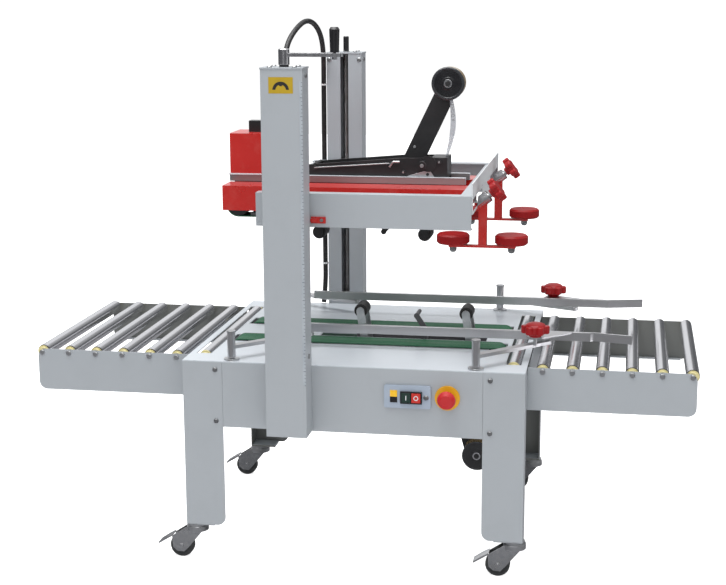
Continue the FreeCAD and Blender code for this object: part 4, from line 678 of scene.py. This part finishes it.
def strand_into(made):
    """The film from the roll's underside to the end block, bowed and a little twisted."""
    top, low = Vector((0.229, 0, 1.3150)), Vector((0.2175, 0, 1.1476))
    half_width, sheet, bulge = 0.025, 0.0003, 0.0115
    steps = 12
    rows = []
    for step in range(steps + 1):
        share = step / steps
        bow = math.sin(math.pi * share)
        middle = top.lerp(low, share) + Vector((bulge * bow, 0, 0))
        turn = math.radians(3 + 9 * bow)
        across = Vector((math.sin(turn), math.cos(turn), 0)) * half_width
        thick = Vector((math.cos(turn), -math.sin(turn), 0)) * sheet
        rows.append([made.verts.new(point) for point in (
            middle - across, middle + across, middle + across + thick, middle - across + thick)])
    for near, far in zip(rows, rows[1:]):
        for i in range(4):
            made.faces.new((near[i], near[(i + 1) % 4], far[(i + 1) % 4], far[i]))
    made.faces.new(reversed(rows[0]))
    made.faces.new(rows[-1])
    bmesh.ops.recalc_face_normals(made, faces=made.faces[:])


add_piece("film_strand", "head", STRAND, strand_into)


CROWN_Z, CROWN_RADIUS, CROWN_RISE = 0.7017, 0.0295, 0.0115
CONE_Z, CONE_LOW, CONE_TOP, CONE_DEPTH = 0.67645, 0.016, 0.024, 0.0103


def crown_into(x, y):
    """A rail knob's domed top and the cone under it."""
    def build(made):
        dome = Matrix.Translation((x, y, CROWN_Z)) @ Matrix.Diagonal(
            (CROWN_RADIUS, CROWN_RADIUS, CROWN_RISE, 1.0))
        bmesh.ops.create_uvsphere(made, u_segments=40, v_segments=20, radius=1.0, matrix=dome)
        bmesh.ops.create_cone(made, cap_ends=True, segments=40, radius1=CONE_LOW, radius2=CONE_TOP,
                              depth=CONE_DEPTH, matrix=Matrix.Translation((x, y, CONE_Z)))
    return build


add_piece("front_rail_crown", "front_guide_rail", RED_ROUGH,
          crown_into(0.503, -0.266))
add_piece("rear_rail_crown", "rear_guide_rail", RED_ROUGH,
          crown_into(0.524, 0.304))


# ------------------------------------------------------------------ hose

HOSE_ROUTE = [
    (-0.330, 0, 1.2476), (-0.324, 0.003, 1.306), (-0.299, 0.018, 1.362), (-0.279, 0.036, 1.420),
    (-0.275, 0.064, 1.474), (-0.260, 0.116, 1.514), (-0.245, 0.186, 1.538), (-0.234, 0.260, 1.528),
    (-0.227, 0.330, 1.490), (-0.229, 0.380, 1.428), (-0.236, 0.412, 1.345), (-0.238, 0.421, 1.250),
    (-0.238, 0.420, 0.760), (-0.236, 0.414, 0.668), (-0.240, 0.398, 0.606),
]


HOSE_RADIUS = 0.008


def smooth_line(name, route):
    """A NURBS curve through free space, with the route's points as its control points."""
    data = bpy.data.curves.new(name, "CURVE")
    data.dimensions = "3D"
    data.resolution_u = 12
    spline = data.splines.new("NURBS")
    spline.points.add(len(route) - 1)
    for point, place in zip(spline.points, route):
        point.co = (*place, 1.0)
    spline.order_u = 3
    spline.use_endpoint_u = True
    return bpy.data.objects.new(name, data)


def line_points(curve):
    """The points of a curve's own line, read from its mesh."""
    scene.collection.objects.link(curve)
    bpy.context.view_layer.update()
    mesh = bpy.data.meshes.new_from_object(curve)
    points = [vertex.co.copy() for vertex in mesh.vertices]
    bpy.data.meshes.remove(mesh)
    bpy.data.objects.remove(curve)
    return points


def tube_mesh(name, points, radius, sides=20):
    """A tube along a line, with a frame carried from ring to ring so that it doesn't twist."""
    mesh = bpy.data.meshes.new(name)
    made = bmesh.new()
    rings = []
    side = Vector((1, 0, 0))
    for i, point in enumerate(points):
        ahead = points[min(i + 1, len(points) - 1)] - points[max(i - 1, 0)]
        ahead.normalize()
        side = (side - ahead * side.dot(ahead)).normalized()
        other = ahead.cross(side)
        rings.append([made.verts.new(point + (side * math.cos(a) + other * math.sin(a)) * radius)
                      for a in (2 * math.pi * k / sides for k in range(sides))])
    for ring, after in zip(rings, rings[1:]):
        for k in range(sides):
            made.faces.new((ring[k], ring[(k + 1) % sides], after[(k + 1) % sides], after[k]))
    made.faces.new(list(reversed(rings[0])))
    made.faces.new(rings[-1])
    for face in made.faces:
        face.smooth = len(face.verts) == 4
    made.to_mesh(mesh)
    made.free()
    piece = bpy.data.objects.new(name, mesh)
    scene.collection.objects.link(piece)
    return piece


hose_line = line_points(smooth_line("hose_line", HOSE_ROUTE))
hose = tube_mesh("hose_tube", hose_line, HOSE_RADIUS)
hose.data.materials.append(HOSE_RUBBER)
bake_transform(hose)
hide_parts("hose")


# ------------------------------------------------------------------ stage, light, camera

def add_floor():
    mesh = bpy.data.meshes.new("floor")
    half = 12.0
    mesh.from_pydata([(-half, -half, 0), (half, -half, 0), (half, half, 0), (-half, half, 0)], [],
                     [(0, 1, 2, 3)])
    floor = bpy.data.objects.new("floor", mesh)
    scene.collection.objects.link(floor)
    look = Look("floor_paper", Specular_IOR_Level=0.1, Emission_Color=(1, 1, 1, 1))
    path = look.add("ShaderNodeLightPath")
    glossy = path.outputs["Is Glossy Ray"]
    seen = path.outputs["Is Camera Ray"]
    glow = look.blend(seen, 0.36, 0.8)
    look.feed(look.shader.inputs["Emission Strength"], look.blend(glossy, glow, 0.0))
    paper = look.mix(look.noise(2.0), (0.93, 0.93, 0.93, 1), (0.95, 0.95, 0.95, 1))
    paper = look.mix(seen, (0.66, 0.66, 0.66, 1), paper)
    mesh.materials.append(look.set(look.mix(glossy, paper, (0.22, 0.22, 0.23, 1)), 0.9))


def add_area(name, place, target, size, power, colour=(1, 1, 1)):
    data = bpy.data.lights.new(name, "AREA")
    data.shape = "RECTANGLE"
    data.size, data.size_y = size
    data.energy = power
    data.color = colour
    lamp = bpy.data.objects.new(name, data)
    lamp.location = place
    lamp.rotation_euler = (Vector(target) - Vector(place)).to_track_quat("-Z", "Y").to_euler()
    scene.collection.objects.link(lamp)


def add_world():
    """White to the camera. Reflections see a grey room with a bright ceiling and a pale back wall."""
    world = bpy.data.worlds.new("studio")
    world.use_nodes = True
    tree = world.node_tree
    background = tree.nodes["Background"]

    def made(kind, **settings):
        node = tree.nodes.new(kind)
        for key, value in settings.items():
            setattr(node, key, value)
        return node

    def fade(value, low, high):
        node = made("ShaderNodeMapRange", interpolation_type="SMOOTHSTEP")
        tree.links.new(value, node.inputs["Value"])
        node.inputs["From Min"].default_value = low
        node.inputs["From Max"].default_value = high
        return node.outputs["Result"]

    def times(one, other):
        node = made("ShaderNodeMath", operation="MULTIPLY")
        tree.links.new(one, node.inputs[0])
        tree.links.new(other, node.inputs[1])
        return node.outputs[0]

    def mixed(share, one, other):
        node = made("ShaderNodeMix", data_type="RGBA")
        for index, value in ((0, share), (6, one), (7, other)):
            if isinstance(value, bpy.types.NodeSocket):
                tree.links.new(value, node.inputs[index])
            else:
                node.inputs[index].default_value = value
        return node.outputs[2]

    split = made("ShaderNodeSeparateXYZ")
    tree.links.new(made("ShaderNodeTexCoord").outputs["Generated"], split.inputs[0])
    path = made("ShaderNodeLightPath")
    low = mixed(path.outputs["Is Glossy Ray"], (0.46, 0.467, 0.478, 1), (0.13, 0.134, 0.142, 1))
    room = mixed(fade(split.outputs["Z"], 0.1, 0.8), low, (1.08, 1.087, 1.094, 1))
    wall = times(fade(split.outputs["Y"], 0.72, 0.9), fade(split.outputs["Z"], -0.02, 0.06))
    lit_side = times(wall, fade(split.outputs["X"], 0.08, -0.03))
    room = mixed(lit_side, room, (1.0, 1.01, 1.03, 1))
    tree.links.new(mixed(path.outputs["Is Camera Ray"], room, (1.3, 1.3, 1.3, 1)), background.inputs[0])
    background.inputs[1].default_value = 0.8
    scene.world = world


CAMERA_PLACE = (0.7484, -4.3894, 1.6478)
CAMERA_LENS = 74.25
CAMERA_TURN = (10.137, 11.669, -0.2775)   # degrees: towards the right, downwards, and roll


def add_camera():
    azimuth, down, roll = (math.radians(angle) for angle in CAMERA_TURN)
    ahead = Vector((-math.sin(azimuth) * math.cos(down), math.cos(azimuth) * math.cos(down),
                    -math.sin(down)))
    right = Vector((math.cos(azimuth), math.sin(azimuth), 0))
    up = right.cross(ahead)
    turned_right = right * math.cos(roll) + up * math.sin(roll)
    turned_up = up * math.cos(roll) - right * math.sin(roll)
    data = bpy.data.cameras.new("camera")
    data.sensor_width = 36.0
    data.lens = CAMERA_LENS
    camera = bpy.data.objects.new("camera", data)
    aim = Matrix((turned_right, turned_up, -ahead)).transposed().to_4x4()
    camera.matrix_world = Matrix.Translation(CAMERA_PLACE) @ aim
    scene.collection.objects.link(camera)
    scene.camera = camera


add_floor()
add_world()
add_area("key_top", (-0.4, -0.6, 4.2), (0, 0, 0.7), (3.2, 2.6), 150)
add_area("front_fill", (0.3, -11.5, 4.4), (0, 0, 0.8), (6.0, 5.0), 128)
add_area("right_side", (4.6, -0.8, 2.0), (0, 0, 0.8), (2.2, 2.4), 11)
add_camera()
scene.view_settings.view_transform = "Standard"
